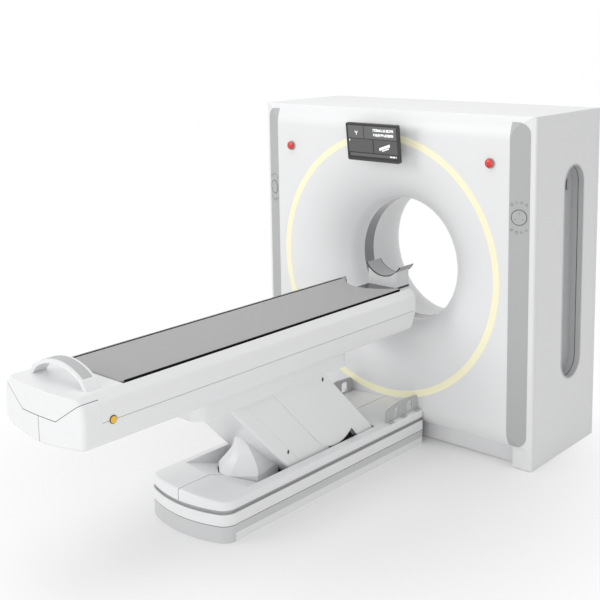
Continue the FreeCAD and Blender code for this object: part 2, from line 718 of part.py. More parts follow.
def base_covers():
    """Domed base cover with a sloping bowl for the lift, split along the middle."""
    outer = base_form(0.0, GROOVE_Z1)
    edges = [e for e in outer.Edges if e.BoundBox.ZMin > RIM_Z - 3.0
             and e.CenterOfMass.y < BASE_END_Y - 5.0]
    outer = outer.makeFillet(12.0, edges)
    shell = outer.cut(base_form(BASE_T, GROOVE_Z1 - 5.0))
    y_high = BOWL_Y - (CROWN_Z + 10.0 - RIM_Z) / BOWL_SLOPE
    cutter = [(y_high, CROWN_Z + 10.0), (WELL_Y0, bowl_floor_z(WELL_Y0)),
              (WELL_Y0, 60.0), (WELL_Y1, 60.0), (WELL_Y1, CROWN_Z + 10.0)]
    shell = shell.cut(prism_x(cutter, -BOWL_HALF, BOWL_HALF))
    floor = [(y_high, CROWN_Z + 10.0), (WELL_Y0, bowl_floor_z(WELL_Y0)),
             (WELL_Y0, bowl_floor_z(WELL_Y0) - BASE_T), (y_high, CROWN_Z + 10.0 - BASE_T)]
    walls = [(y_high, CROWN_Z + 10.0), (WELL_Y0, bowl_floor_z(WELL_Y0) - BASE_T),
             (WELL_Y1, bowl_floor_z(WELL_Y0) - BASE_T), (WELL_Y1, CROWN_Z + 10.0)]
    liner = prism_x(floor, -BOWL_HALF - BASE_T, BOWL_HALF + BASE_T)
    for x0 in (-BOWL_HALF - BASE_T, BOWL_HALF):
        liner = liner.fuse(prism_x(walls, x0, x0 + BASE_T))
    liner = liner.common(base_form(BASE_T / 2.0, 40.0))
    mouth = prism_z([(30.0, BOOT_Y - 4.0), (140.0, BOOT_SIDE_Y - 4.0), (140.0, WELL_Y0 + 5.0),
                     (-140.0, WELL_Y0 + 5.0), (-140.0, BOOT_SIDE_Y - 4.0),
                     (-30.0, BOOT_Y - 4.0)], 60.0, 300.0)
    whole = fused(shell, liner.cut(mouth))
    halves = []
    for x0, x1 in ((WIDE_SEAM / 2.0, BASE_HALF + 5.0), (-BASE_HALF - 5.0, -WIDE_SEAM / 2.0)):
        halves.append(whole.common(box(x0, x1, BASE_FRONT_Y - 5.0, 0.0, 0.0, 300.0)))
    return halves


def base_skirt():
    """White band, the shadow groove set in above it, and the lip the covers clip over."""
    band = prism_z(base_plan(0.0, BASE_END_Y), BAND_Z0, GROOVE_Z0)
    groove = prism_z(base_plan(14.0, BASE_END_Y), GROOVE_Z0, GROOVE_Z1)
    lip = prism_z(base_plan(BASE_T, BASE_END_Y), GROOVE_Z1, GROOVE_Z1 + 10.0)
    solid = fused(band, groove, lip)
    return solid.cut(prism_z(base_plan(20.0, BASE_END_Y + 5.0), 0.0, 300.0))


def base_plinth():
    """Grey skirt: full height round the front, a strip above the plinth at the sides."""
    skirt = prism_z(base_plan(1.0, BASE_END_Y), 0.0, SKIRT_Z)
    core = prism_z(base_plan(8.0, BASE_END_Y), SKIRT_Z - 10.0, BAND_Z0)
    solid = fused(skirt, core).cut(prism_z(base_plan(20.0, BASE_END_Y + 5.0), -5.0, 300.0))
    for x0, x1 in ((BASE_HALF - 8.0, BASE_HALF + 5.0), (-BASE_HALF - 5.0, 8.0 - BASE_HALF)):
        solid = solid.cut(box(x0, x1, BASE_SIDE_Y, 0.0, -5.0, PLINTH_Z))
    return solid


def side_plinth():
    return box(BASE_HALF - 8.0, BASE_HALF - 3.0, BASE_SIDE_Y + 1.0, BASE_END_Y, 0.0, PLINTH_Z)


def base_plate():
    """Floor plate with the four pivot stands of the lift standing on it."""
    parts = [prism_z(base_plan(20.0, BASE_END_Y), 0.0, 20.0),
             box(-200.0, 200.0, BASE_END_Y - 10.0, TOE_Y, 0.0, 20.0)]
    for y, z in (FRONT_PIVOT, REAR_PIVOT):
        plate = prism_x([(y - 70.0, 15.0), (y + 70.0, 15.0), (y + 45.0, z + 45.0, 44.9),
                         (y - 45.0, z + 45.0, 44.9)], STAND_X0, STAND_X1)
        plate = plate.cut(rod_x(PIN_R, STAND_X0, STAND_X1, y, z))
        parts.extend(both(plate))
    return fused(*parts).cut(box(-145.0, 145.0, -1300.0, -1140.0, -5.0, 25.0))


def pivot_pins(spots):
    pins = []
    for y, z in spots:
        pins.extend(both(rod_x(PIN_R, STAND_X0, ARM_X1 + 1.0, y, z)))
    return pins


def toe_fairing():
    """Boot on the front web: narrow nose at the top, flaring down to the bowl floor."""
    wires = []
    for z, nose, near, side, side_y, root in BOOT_SECTIONS:
        back = front_line(z, FRONT_EDGE - 10.0)
        wires.append(outline([(near, nose), (side, side_y), (root, back), (-root, back),
                              (-side, side_y), (-near, nose)],
                             lambda a, b, h=z: V(a, b, h)))
    z, nose, near, side, side_y, root = BOOT_SECTIONS[0]
    foot = prism_z([(near, nose), (side, side_y), (root, -1015.0), (-root, -1015.0),
                    (-side, side_y), (-near, nose)], 80.0, z)
    body = fused(Part.makeLoft(wires, True, False), foot)
    y0 = BOOT_Y - 60.0
    over = prism_x([(y0, bowl_floor_z(y0) - 4.0), (-1015.0, bowl_floor_z(-1015.0) - 4.0),
                    (-1015.0, 400.0), (y0, 400.0)], -160.0, 160.0)
    p = FRONT_PIVOT
    behind = prism_x([on_link(p, -200.0, FRONT_EDGE), on_link(p, 900.0, FRONT_EDGE),
                      on_link(p, 900.0, -100.0), on_link(p, -200.0, -100.0)], -170.0, 170.0)
    return body.common(over).cut(behind)


def hoop_bracket():
    """Upright grey strap plate with two windows, standing on the base cover."""
    end = BASE_END_Y - 4.0
    plate = prism_x([(-326.0, 150.0), (end, 150.0), (end, 276.0, 30.0),
                     (-190.0, 284.0, 30.0), (-326.0, 262.0, 34.0)],
                    BASE_HALF - 36.0, BASE_HALF - 29.0)
    for y0, y1, z0, z1 in ((-254.0, -218.0, 203.0, 258.0), (-146.0, -96.0, 203.0, 262.0)):
        window = prism_x([(y0, z0, 6.0), (y1, z0, 6.0), (y1, z1, 14.0), (y0, z1, 14.0)],
                         BASE_HALF - 42.0, BASE_HALF - 22.0)
        plate = plate.cut(window)
    feet = [box(BASE_HALF - 30.0, BASE_HALF - 6.0, y, y + 34.0, RIM_Z + 4.0, RIM_Z + 10.0)
            for y in (-316.0, -205.0, -86.0)]
    return fused(plate, *feet).cut(base_form(0.0, GROOVE_Z1 - 20.0))


def couch_base():
    save("base_plate", base_plate())
    save("base_plinth", base_plinth())
    save("base_skirt", base_skirt(), *both(side_plinth()))
    right, left = base_covers()
    save("base_cover_right", right)
    save("base_cover_left", left)
    save("hoop_brackets", *both(hoop_bracket()))
    save("lower_pins", *pivot_pins((FRONT_PIVOT, REAR_PIVOT)))
    end = STAND_X0 - 10.0
    save("lift_drive", fused(box(20.0 - end, end - 20.0, -820.0, -640.0, 20.0, 90.0),
                             rod_x(40.0, -end, end, -730.0, 80.0)))


# ---- lift linkage ----
LINK_U = (-math.cos(math.radians(LINK_ANGLE)), math.sin(math.radians(LINK_ANGLE)))
LINK_W = (-LINK_U[1], LINK_U[0])


def on_link(pivot, u, w):
    """A point u along a link from its lower pivot and w ahead of its centre line."""
    return pivot[0] + u * LINK_U[0] + w * LINK_W[0], pivot[1] + u * LINK_U[1] + w * LINK_W[1]


def upper(pivot):
    return on_link(pivot, LINK_L, 0.0)


def front_line(z, w):
    """Y of the front link's line at offset w and height z."""
    u = (z - FRONT_PIVOT[1] - w * LINK_W[1]) / LINK_U[1]
    return on_link(FRONT_PIVOT, u, w)[0]


def along(pivot, w, z):
    """Point of a link's parallel line at offset w that lies at height z."""
    u = (z - pivot[1] - w * LINK_W[1]) / LINK_U[1]
    return on_link(pivot, u, w)


def link_arms(pivot, top_fit, tube_us):
    """Two flat bars bored for the pins, joined by cross tubes."""
    half = ARM_HALF
    bar = prism_x([on_link(pivot, 0.0, -half), ("via",) + on_link(pivot, -half, 0.0),
                   on_link(pivot, 0.0, half), on_link(pivot, LINK_L, half),
                   ("via",) + on_link(pivot, LINK_L + half, 0.0),
                   on_link(pivot, LINK_L, -half)], ARM_X0, ARM_X1)
    bar = bar.cut(rod_x(PIN_R + RUN_FIT, ARM_X0, ARM_X1, *pivot))
    bar = bar.cut(rod_x(PIN_R + top_fit, ARM_X0, ARM_X1, *upper(pivot)))
    parts = both(bar)
    for u in tube_us:
        spot = on_link(pivot, u, 0.0)
        parts.append(rod_x(28.0, -ARM_X0 - 1.0, ARM_X0 + 1.0, *spot))
    return parts


def front_link_arms():
    parts = link_arms(FRONT_PIVOT, RUN_FIT, (540.0,))
    for u in (202.0, 560.0):
        boss = rod_x(20.0, ARM_X1 - 1.0, INNER_WALL_X, *on_link(FRONT_PIVOT, u, 0.0))
        parts.extend(both(boss))
    return fused(*parts)


def rear_link_arms():
    parts = link_arms(REAR_PIVOT, OPEN_PIVOT_FIT, (200.0, 500.0))
    for u in (200.0, 578.0):
        boss = rod_x(12.0, ARM_X1 - 1.0, OUTER_WALL_X, *on_link(REAR_PIVOT, u, -28.0))
        parts.extend(both(boss))
    return fused(*parts)


def front_corner(side):
    """Rounded corner of the front link cover, along the straight of the link."""
    p = FRONT_PIVOT
    w = FRONT_EDGE - CORNER_TURN
    x = INNER_WALL_X + WALL_T - CORNER_TURN
    inner = CORNER_TURN - WALL_T
    half = math.sqrt(0.5)
    items = [(x, w + CORNER_TURN), ("via", x + CORNER_TURN * half, w + CORNER_TURN * half),
             (x + CORNER_TURN, w), (x + inner, w), ("via", x + inner * half, w + inner * half),
             (x, w + inner)]
    face = Part.Face(outline(items, lambda a, b: V(side * a, *on_link(p, 60.0, b))))
    return face.extrude(V(0.0, LINK_U[0], LINK_U[1]) * (LINK_L - 60.0))


def front_link_cover():
    """Inner telescoping cover: two side walls and a front web."""
    p = FRONT_PIVOT
    edge = FRONT_EDGE
    reach = FRONT_REACH
    wall = [on_link(p, 0.0, edge), on_link(p, LINK_L, edge),
            ("via",) + on_link(p, LINK_L + edge * 0.7071, edge * 0.7071),
            on_link(p, LINK_L + edge, 0.0), along(p, -edge, 640.0), along(p, -reach, 640.0),
            along(p, -reach, 150.0), (p[0] + edge * 0.6, 150.0),
            (p[0] + edge * 0.6, p[1] - edge * 0.8),
            ("via",) + on_link(p, -edge * 0.6, edge * 0.8)]
    side = prism_x(wall, INNER_WALL_X, INNER_WALL_X + WALL_T)
    x1 = INNER_WALL_X + 1.0
    web = prism_x([on_link(p, 0.0, edge), on_link(p, LINK_L, edge),
                   on_link(p, LINK_L, edge - 6.0), on_link(p, 0.0, edge - 6.0)], -x1, x1)
    web = web.cut(prism_x([on_link(p, -60.0, edge + 10.0), on_link(p, 60.0, edge + 10.0),
                           on_link(p, 60.0, edge - 20.0), on_link(p, -60.0, edge - 20.0)],
                          -STAND_X1 - 2.0, STAND_X1 + 2.0))
    cover = fused(web, *both(side))
    w = edge - CORNER_TURN
    x = INNER_WALL_X + WALL_T - CORNER_TURN
    square = prism_x([on_link(p, 60.0, w), on_link(p, LINK_L, w), on_link(p, LINK_L, edge + 9.0),
                      on_link(p, 60.0, edge + 9.0)], x, x + 30.0)
    seam = prism_x([on_link(p, -20.0, -9.2), on_link(p, LINK_L, -9.2), on_link(p, LINK_L, -10.8),
                    on_link(p, -20.0, -10.8)], INNER_WALL_X + WALL_T - 1.4, BOWL_HALF)
    for piece in both(square) + both(seam):
        cover = cover.cut(piece)
    return fused(cover, front_corner(1), front_corner(-1))


def rear_link_cover():
    """Outer telescoping cover: two wide side plates and a rear web."""
    p = REAR_PIVOT
    edge = REAR_EDGE
    reach = REAR_REACH
    bend = 180.0
    low_u = 381.0
    arc_w = reach - bend
    half = math.sqrt(0.5)
    wall = [on_link(p, 0.0, -edge), ("via",) + on_link(p, -edge * half, -edge * half),
            on_link(p, -edge, 0.0), on_link(p, -edge * 0.6, edge * 0.8),
            on_link(p, low_u - bend, arc_w),
            ("via",) + on_link(p, low_u - bend * half, arc_w + bend * half),
            on_link(p, low_u, reach), along(p, reach, 640.0), along(p, edge, 640.0),
            on_link(p, LINK_L + edge, 0.0),
            ("via",) + on_link(p, LINK_L + edge * half, -edge * half),
            on_link(p, LINK_L, -edge)]
    side = prism_x(wall, OUTER_WALL_X, OUTER_WALL_X + WALL_T)
    x1 = OUTER_WALL_X + 1.0
    web = prism_x([on_link(p, 0.0, -edge), on_link(p, 660.0, -edge),
                   on_link(p, 660.0, 6.0 - edge), on_link(p, 0.0, 6.0 - edge)], -x1, x1)
    return fused(web, *both(side))


def lift():
    save("front_link_arms", front_link_arms())
    save("front_link_cover", front_link_cover())
    save("toe_fairing", toe_fairing())
    save("rear_link_arms", rear_link_arms())
    save("rear_link_cover", rear_link_cover())


# ---- couch ----
def couch_form(inset):
    """Outer form of the couch body, or the space inside it at an inset."""
    t = inset
    right = [(SLOT_X, SHOULDER_Z - t), (PANEL_X - 12.0 - t, SHOULDER_Z - 34.0 - t, 25.0),
             (PANEL_X - t, PANEL_Z, 150.0), (PANEL_X - 9.0 - t, SIDE_Z + t, 25.0)]
    left = [(-it[0],) + it[1:] for it in reversed(right)]
    section = prism_y(right + [(0.0, KEEL_Z + t, 500.0)] + left, NOSE_Y - 5.0, 0.0)
    wide = PANEL_X + 10.0
    plan = prism_z([(wide, 0.0), (wide, NOSE_CORNER_Y + 1.5 + t), ("via", 0.0, NOSE_Y + t),
                    (-wide, NOSE_CORNER_Y + 1.5 + t), (-wide, 0.0)],
                   KEEL_Z - 20.0, SHOULDER_Z + 5.0)
    ends = prism_x([(NOSE_Y - 5.0, KEEL_Z - 10.0), (COUCH_END_Y - 55.0 - t, KEEL_Z - 10.0),
                    (COUCH_END_Y - 52.0 - t, SIDE_Z), ("via", COUCH_END_Y - 21.0 - t, PANEL_Z),
                    (COUCH_END_Y - t, SHOULDER_Z + 5.0), (NOSE_Y - 5.0, SHOULDER_Z + 5.0)],
                   -wide - 5.0, wide + 5.0)
    form = section.common(plan).common(ends)
    upright = [e for e in form.Edges if e.CenterOfMass.y < NOSE_CORNER_Y + 14.0
               and abs(e.CenterOfMass.x) > 230.0 and e.BoundBox.ZLength > 15.0]
    return form.makeFillet(NOSE_R - t, upright)


def couch_shells():
    """Side rails, lower tray, nose cap and nose lid, all cut from one moulded form."""
    outer = couch_form(0.0)
    shell = outer.cut(couch_form(COUCH_T))
    shell = shell.cut(box(-SLOT_X, SLOT_X, TOP_FOOT_Y - 3.0, 10.0, PANEL_Z + 60.0, 900.0))
    for side in (-1.0, 1.0):
        shell = shell.cut(rod_x(BEZEL_R, side * PANEL_X - 15.0, side * PANEL_X + 15.0,
                                BUTTON_Y, BUTTON_Z))
    wide = PANEL_X + 10.0
    body = box(-wide, wide, NOSE_SEAM_Y + SEAM, 10.0, 600.0, 900.0)
    deck = box(-SLOT_X, SLOT_X, NOSE_SEAM_Y - 1.0, 10.0, SHOULDER_Z - COUCH_T - 0.1, 900.0)
    rails = []
    for x0, x1 in ((150.0, wide), (-wide, -150.0)):
        rail = shell.common(box(x0, x1, NOSE_SEAM_Y + SEAM, 10.0, PANEL_Z + WIDE_SEAM, 900.0))
        rails.append(rail.cut(deck))
    tray = shell.common(body).common(box(-wide, wide, NOSE_Y - 41.0, 10.0, 600.0, PANEL_Z))
    tray = tray.cut(box(-WELL_HALF - 5.0, WELL_HALF + 5.0, -1452.0, -618.0, 600.0, 700.0))
    end_wall = outer.common(box(-PANEL_X + COUCH_T, PANEL_X - COUCH_T, -200.0,
                                10.0, PANEL_Z, PANEL_Z + 45.0)).cut(couch_form(COUCH_T))
    tray = fused(tray, end_wall.common(box(-140.0, 140.0, -200.0, 10.0, 700.0, 850.0)))
    nose = shell.common(box(-wide, wide, NOSE_Y - 41.0, NOSE_SEAM_Y, 600.0, 900.0))
    lid_line = [(-wide, 900.0), (-wide, 866.0), (-246.0, 858.0, 60.0),
                (-112.0, PANEL_Z, 70.0), (112.0, PANEL_Z, 70.0), (246.0, 858.0, 60.0),
                (wide, 866.0), (wide, 900.0)]
    lid_zone = prism_y(lid_line, NOSE_Y - 41.0, NOSE_SEAM_Y + 5.0)
    lid = fused(nose.common(lid_zone), shell.common(deck))
    cap = nose.cut(lid_zone).cut(box(-0.8, 0.8, NOSE_Y - 41.0, NOSE_SEAM_Y + 5.0, 600.0, 900.0))
    return rails, tray, cap, lid, outer


def lift_pod(outer):
    """Skirt under the tray that hides the upper pivots, open below for the links."""
    def ends(half, y0, y1):
        return [(-half, y0, 60.0), (half, y0, 60.0), (half, y1, 60.0), (-half, y1, 60.0)]

    body = prism_z(ends(POD_HALF, POD_Y0, POD_Y1), POD_Z, 700.0)
    hollow = prism_z(ends(POD_HALF - 6.0, POD_Y0 + 6.0, POD_Y1 - 6.0), POD_Z + 6.0, 705.0)
    mouth = box(-WELL_HALF, WELL_HALF, -1449.0, -622.0, POD_Z - 5.0, POD_Z + 10.0)
    return body.cut(hollow).cut(mouth).cut(outer)


def couch_frame():
    """Two long beams with cross members and the hangers of the upper pivots."""
    parts = both(box(110.0, 185.0, NOSE_Y, -170.0, 715.0, FRAME_TOP))
    for y in (-2120.0, -1500.0, -640.0, -220.0):
        parts.append(box(-111.0, 111.0, y, y + 50.0, 725.0, FRAME_TOP - 5.0))
    for y in (-2060.0, -1560.0, -560.0, -260.0):
        parts.append(box(-PANEL_X + 8.0, PANEL_X - 8.0, y, y + 30.0, 735.0, 760.0))
    for pivot in (FRONT_PIVOT, REAR_PIVOT):
        y, z = upper(pivot)
        hanger = prism_x([(y - 45.0, z - 45.0, 44.9), (y + 45.0, z - 45.0, 44.9),
                          (y + 45.0, 720.0), (y - 45.0, 720.0)], STAND_X0, STAND_X1)
        parts.extend(both(hanger.cut(rod_x(PIN_R, STAND_X0, STAND_X1, y, z))))
    frame = fused(*parts)
    well = box(3.0 - WELL_HALF, WELL_HALF - 3.0, -1452.0, -622.0, 560.0, 700.0)
    return frame.common(couch_form(COUCH_T).fuse(well))


def guide_rail():
    """Black running rail: a web in the side slot and a ledge under the tabletop."""
    return prism_y([(112.0, FRAME_TOP), (218.0, FRAME_TOP), (218.0, 868.0), (204.0, 868.0),
                    (204.0, RAIL_Z), (112.0, RAIL_Z)], -2140.0, -170.0)


def pad_plan():
    """Plan of the mat and tabletop: the head end is hollowed for the head holder."""
    half = MAT_HALF
    return [(-half, TOP_FOOT_Y, 20.0), (half, TOP_FOOT_Y, 20.0), (half, MAT_END_Y - 14.0),
            (half - 10.0, MAT_END_Y), (half - 26.0, MAT_END_Y), ("via", 0.0, NOTCH_Y),
            (26.0 - half, MAT_END_Y), (10.0 - half, MAT_END_Y), (-half, MAT_END_Y - 14.0)]


def tabletop():
    """Shallow trough with a rounded head end and a tongue that runs on under the head."""
    low = 838.0
    high = MAT_TOP - MAT_T
    half = MAT_HALF
    section = [(-half, high), (-half, low + 18.0, 8.0), (-150.0, RAIL_Z + 0.4),
               (150.0, RAIL_Z + 0.4), (half, low + 18.0, 8.0), (half, high)]
    bed = prism_y(section, TOP_FOOT_Y, MAT_END_Y)
    tongue = box(-94.0, 94.0, NOTCH_Y - 80.0, TONGUE_END_Y, low, low + 12.0)
    return fused(bed.common(prism_z(pad_plan(), 800.0, 900.0)), tongue)


def mat():
    slab = prism_z(pad_plan(), MAT_TOP - MAT_T, MAT_TOP)
    top = [e for e in slab.Edges if e.BoundBox.ZMin > MAT_TOP - 0.1]
    return slab.makeFillet(4.0, top)


def head_holder():
    """Curved head shell and the block that carries it on the tongue."""
    sweep = math.radians(HEAD_SWEEP)
    centre = HEAD_Z + HEAD_R
    points = []
    for radius, turn in ((HEAD_R, 1.0), (HEAD_R + 5.0, -1.0)):
        for angle in (-sweep * turn, 0.0, sweep * turn):
            points.append((radius * math.sin(angle), centre - radius * math.cos(angle)))
    a, b, c, d, e, f = points
    shell = prism_y([a, ("via",) + b, c, d, ("via",) + e, f], HEAD_Y0, HEAD_Y1)
    block = prism_y([(-94.0, 850.0), (94.0, 850.0), (94.0, 945.0), (-94.0, 945.0)],
                    HEAD_Y0 - 10.0, HEAD_Y1 - 14.0)
    saddle = rod_y(HEAD_R + 5.0, 0.0, HEAD_Y0 - 10.0, HEAD_Y1, centre)
    return shell, block.cut(saddle)


def push_handle():
    """Arched grab band standing across the nose lid."""
    t = 16.0
    rise = HANDLE_TOP - SHOULDER_Z
    low = SHOULDER_Z
    outer = [(-HANDLE_HALF, low), (-HANDLE_HALF + 30.0, low + rise * 0.42),
             ("via", 0.0, HANDLE_TOP), (HANDLE_HALF - 30.0, low + rise * 0.42),
             (HANDLE_HALF, low)]
    inner = [(HANDLE_HALF - 26.0, low), (HANDLE_HALF - 50.0, low + rise * 0.34),
             ("via", 0.0, HANDLE_TOP - t), (-HANDLE_HALF + 50.0, low + rise * 0.34),
             (-HANDLE_HALF + 26.0, low)]
    return prism_y(outer + inner, HANDLE_Y - HANDLE_BAND, HANDLE_Y + HANDLE_BAND)


def release_button(side):
    cap = rod_x(BUTTON_R, PANEL_X - 3.0, PANEL_X + 3.5, BUTTON_Y, BUTTON_Z)
    stem = rod_x(6.0, PANEL_X - 24.0, PANEL_X - 2.0, BUTTON_Y, BUTTON_Z)
    button = fused(cap, stem)
    return button if side > 0 else mirrored(button)


def button_bezel():
    """Dark cup that the release button sinks into."""
    cup = rod_x(BEZEL_R, PANEL_X - 15.0, PANEL_X + 1.0, BUTTON_Y, BUTTON_Z)
    cup = cup.cut(rod_x(BUTTON_R + 0.4, PANEL_X - 9.0, PANEL_X + 5.0, BUTTON_Y, BUTTON_Z))
    return cup.cut(rod_x(6.0 + RUN_FIT, PANEL_X - 20.0, PANEL_X, BUTTON_Y, BUTTON_Z))


def couch():
    rails, tray, cap, lid, outer = couch_shells()
    save("side_rails", *rails)
    save("couch_tray", fused(tray, lift_pod(outer)))
    save("nose_cap", cap)
    save("nose_lid", lid)
    save("push_handle", push_handle())
    save("couch_frame", couch_frame())
    save("guide_rails", *both(guide_rail()))
    save("upper_pins", *pivot_pins((upper(FRONT_PIVOT), upper(REAR_PIVOT))))
    save("tabletop", tabletop())
    save("mat", mat())
    shell, block = head_holder()
    save("head_cradle", shell)
    save("head_block", block)
    save("release_button_right", release_button(1))
    save("release_button_left", release_button(-1))
    save("button_bezels", *both(button_bezel()))


def main():
    os.makedirs("parts", exist_ok=True)
    gantry_covers()
    gantry_fittings()
    gantry_inside()
    couch_base()
    lift()
    couch()


main()
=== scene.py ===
import json
import math

import bmesh
import bpy
from mathutils import Matrix, Vector


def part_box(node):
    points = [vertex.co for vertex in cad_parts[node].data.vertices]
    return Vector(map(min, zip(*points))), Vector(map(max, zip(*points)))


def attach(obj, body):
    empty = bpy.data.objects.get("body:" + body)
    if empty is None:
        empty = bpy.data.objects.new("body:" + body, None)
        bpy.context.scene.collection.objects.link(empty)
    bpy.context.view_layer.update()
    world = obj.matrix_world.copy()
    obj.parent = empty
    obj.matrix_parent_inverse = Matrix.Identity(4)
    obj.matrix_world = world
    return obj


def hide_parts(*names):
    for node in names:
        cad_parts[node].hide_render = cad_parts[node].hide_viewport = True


bl_info = {
    "name": "CT Scanner Dressing",
    "version": (1, 0, 0),
    "blender": (4, 5, 0),
    "location": "View3D > Sidebar > Scanner",
    "description": "Finishes, padding, markings and studio stage for a CT scanner",
    "category": "Object",
}

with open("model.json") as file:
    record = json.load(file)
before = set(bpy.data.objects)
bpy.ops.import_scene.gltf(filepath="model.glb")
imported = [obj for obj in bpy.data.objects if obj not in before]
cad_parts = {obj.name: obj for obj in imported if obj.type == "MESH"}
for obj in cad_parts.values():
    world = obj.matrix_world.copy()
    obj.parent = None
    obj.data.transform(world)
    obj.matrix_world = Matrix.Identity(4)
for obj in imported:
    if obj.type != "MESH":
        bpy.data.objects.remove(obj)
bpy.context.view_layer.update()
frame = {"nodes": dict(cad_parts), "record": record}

PHOTO_PIXELS = 600.0

# The gantry's front corners in the row's own Y.
CORNER_Y = 0.7845

# Camera fitted to the photograph: heading, pitch and roll in radians, focal length and
# principal point in pixels of the square frame.
VIEW_HEADING = 0.71466
VIEW_PITCH = 0.14945
VIEW_ROLL = -0.01278
VIEW_POINT = (3.45091, -3.67725, 2.28302)
VIEW_FOCAL = 1041.6
VIEW_CENTRE = (330.0, 180.0)

# The slanted flank that carries each control dial.
FLANK_FACE_X = 0.787
FLANK_FACE_Y = CORNER_Y - 0.040
FLANK_SIDE_X = 0.912
FLANK_SIDE_Y = CORNER_Y + 0.005
DIAL_X = 0.835
DIAL_Z = 1.320
DIAL_FACE = 0.00335     # dial face above the bare flank
STRIP_FACE = 0.0018     # strip's face above the bare flank
# Symbols round each dial: their angles, and the sides of each outline.
SYMBOLS = ((57, 16), (80, 4), (100, 3), (123, 16), (237, 6), (260, 16), (280, 4), (303, 5))

# Head end of the mat: where its corners and the bottom of its hollow lie, half the
# hollow's width, the columns of the mesh, and its rows as parts of the tapering stretch.
MAT_END_Y = CORNER_Y - 0.152
MAT_NOTCH_Y = CORNER_Y - 0.262
MAT_NOTCH_HALF = 0.174
MAT_COLUMNS = (0.180, 0.174, 0.171, 0.165, 0.155, 0.140, 0.120, 0.095, 0.065, 0.033, 0.0)
MAT_TAPER = 0.18
MAT_END_ROWS = (0.0, 0.1, 0.3, 0.6, 1.0)
# Its corners as radius and segments, and the spacing of the rows from its foot.
MAT_FOOT_CORNER = (0.020, 6)
MAT_HEAD_CORNER = (0.012, 3)
MAT_FOOT_ROW = 0.03
MAT_ROW = 0.1
MAT_ROWS = 16
NEAR = 0.0005       # distance within which a vertex counts as being at a place

# Seams drawn in the finishes as painted shade: the dark colour painted into their gaps, the
# lid's outline on the nose (level in the middle, rising to a corner, then along the side),
# and the painted shade in the groove and the gap round the base.
PAINTED_SEAM_SHADE = (0.07, 0.07, 0.075)
LID_LEVEL_X = 0.112
LID_CORNER_X = 0.246
LID_SIDE_X = 0.271
LID_LOW_Z = 0.768
LID_CORNER_Z = 0.858
LID_SIDE_RISE = 0.008
LID_SEAM_HALF = 0.0016
LID_BACK_Y = CORNER_Y - 2.150
CENTRE_SEAM_HALF = 0.0013
SKIRT_GROOVE_Z = (0.134, 0.156)
PLINTH_LINE_Z = (0.0778, 0.0815)

# Arc of the push handle's top.
HANDLE_ARC_R = 0.2989
HANDLE_ARC_HALF = 0.160

# Pull recesses: their stadium outline, the dark beads of painted shade in them as place
# across, inset from the outline and radius, and the floor with the knob and the split line of
# painted shade above it.
RECESS_Y = CORNER_Y + 0.396
RECESS_HALF = 0.1015
RECESS_Z0 = 0.402
RECESS_Z1 = 1.543
RECESS_BEADS = {"outer": (0.9117, 0.0015, 0.0016), "inner": (0.884, 0.0042, 0.0014)}
RECESS_FLOOR_X = 0.847
KNOB_Y = RECESS_Y - 0.012
KNOB_Z = 1.438
KNOB_RING = 0.0405
SPLIT_Z = (1.482, 1.532)

# Lift covers: lower pivots and the link direction at rest.
FRONT_PIVOT = (CORNER_Y - 0.905, 0.120)
REAR_PIVOT = (CORNER_Y - 0.417, 0.120)
LINK_ANGLE = math.radians(46.5)
# Screws in them: pivot, places along and ahead of the link, face, body.
COVER_SCREWS = {"front": (FRONT_PIVOT, 0.202, 0.0, 0.2005, "front_link"),
                "rear": (REAR_PIVOT, 0.578, -0.028, 0.205, "rear_link")}

# Head cradle: inner radius, height of its lowest line over the box, and half the sweep.
HEAD_RADIUS = 0.134
HEAD_FLOOR = 0.005
HEAD_SWEEP = math.radians(57.0)

# Lamps: place, size and power; and the point that all of them face.
LAMPS = {"key_lamp": ((-3.4, -5.0, 3.6), 3.6, 98.0),
         "front_lamp": ((2.2, -6.5, 2.2), 3.2, 42.0),
         "low_lamp": ((2.9, -3.4, 0.7), 2.0, 18.0),
         "top_lamp": ((0.0, -0.2, 5.5), 4.0, 62.0)}
LAMP_AIM = (0.0, 0.2, 0.8)
WORLD_STRENGTH = 0.62
# Distances from the middle between which the floor fades to the white background.
FLOOR_FADE = (0.7, 2.1)


# ---------------------------------------------------------------- shader helpers
class Wiring:
    """Adds and joins nodes in one tree."""

    def __init__(self, tree):
        self.tree = tree

    def add(self, kind, **settings):
        node = self.tree.nodes.new(kind)
        for key, value in settings.items():
            setattr(node, key, value)
        return node

    def join(self, source, target):
        self.tree.links.new(source, target)

    def maths(self, operation, first, second=None, clamp=False):
        node = self.add("ShaderNodeMath", operation=operation, use_clamp=clamp)
        for index, value in enumerate((first, second)):
            if value is None:
                continue
            if isinstance(value, (int, float)):
                node.inputs[index].default_value = value
            else:
                self.join(value, node.inputs[index])
        return node.outputs[0]

    def noise(self, vector, scale, detail=3.0, roughness=0.55):
        node = self.add("ShaderNodeTexNoise")
        self.join(vector, node.inputs["Vector"])
        if isinstance(scale, (int, float)):
            node.inputs["Scale"].default_value = scale
        else:
            self.join(scale, node.inputs["Scale"])
        node.inputs["Detail"].default_value = detail
        node.inputs["Roughness"].default_value = roughness
        return node.outputs["Fac"]

    def spread(self, value, low, high):
        """Maps a 0..1 value onto low..high, either of which may be a socket."""
        node = self.add("ShaderNodeMapRange")
        self.join(value, node.inputs["Value"])
        for label, end in (("To Min", low), ("To Max", high)):
            if isinstance(end, (int, float)):
                node.inputs[label].default_value = end
            else:
                self.join(end, node.inputs[label])
        return node.outputs["Result"]

    def mix(self, factor, first, second):
        node = self.add("ShaderNodeMix", data_type="RGBA")
        for socket, value in ((node.inputs[0], factor), (node.inputs[6], first),
                              (node.inputs[7], second)):
            if isinstance(value, bpy.types.NodeSocket):
                self.join(value, socket)
            else:
                socket.default_value = value
        return node.outputs[2]


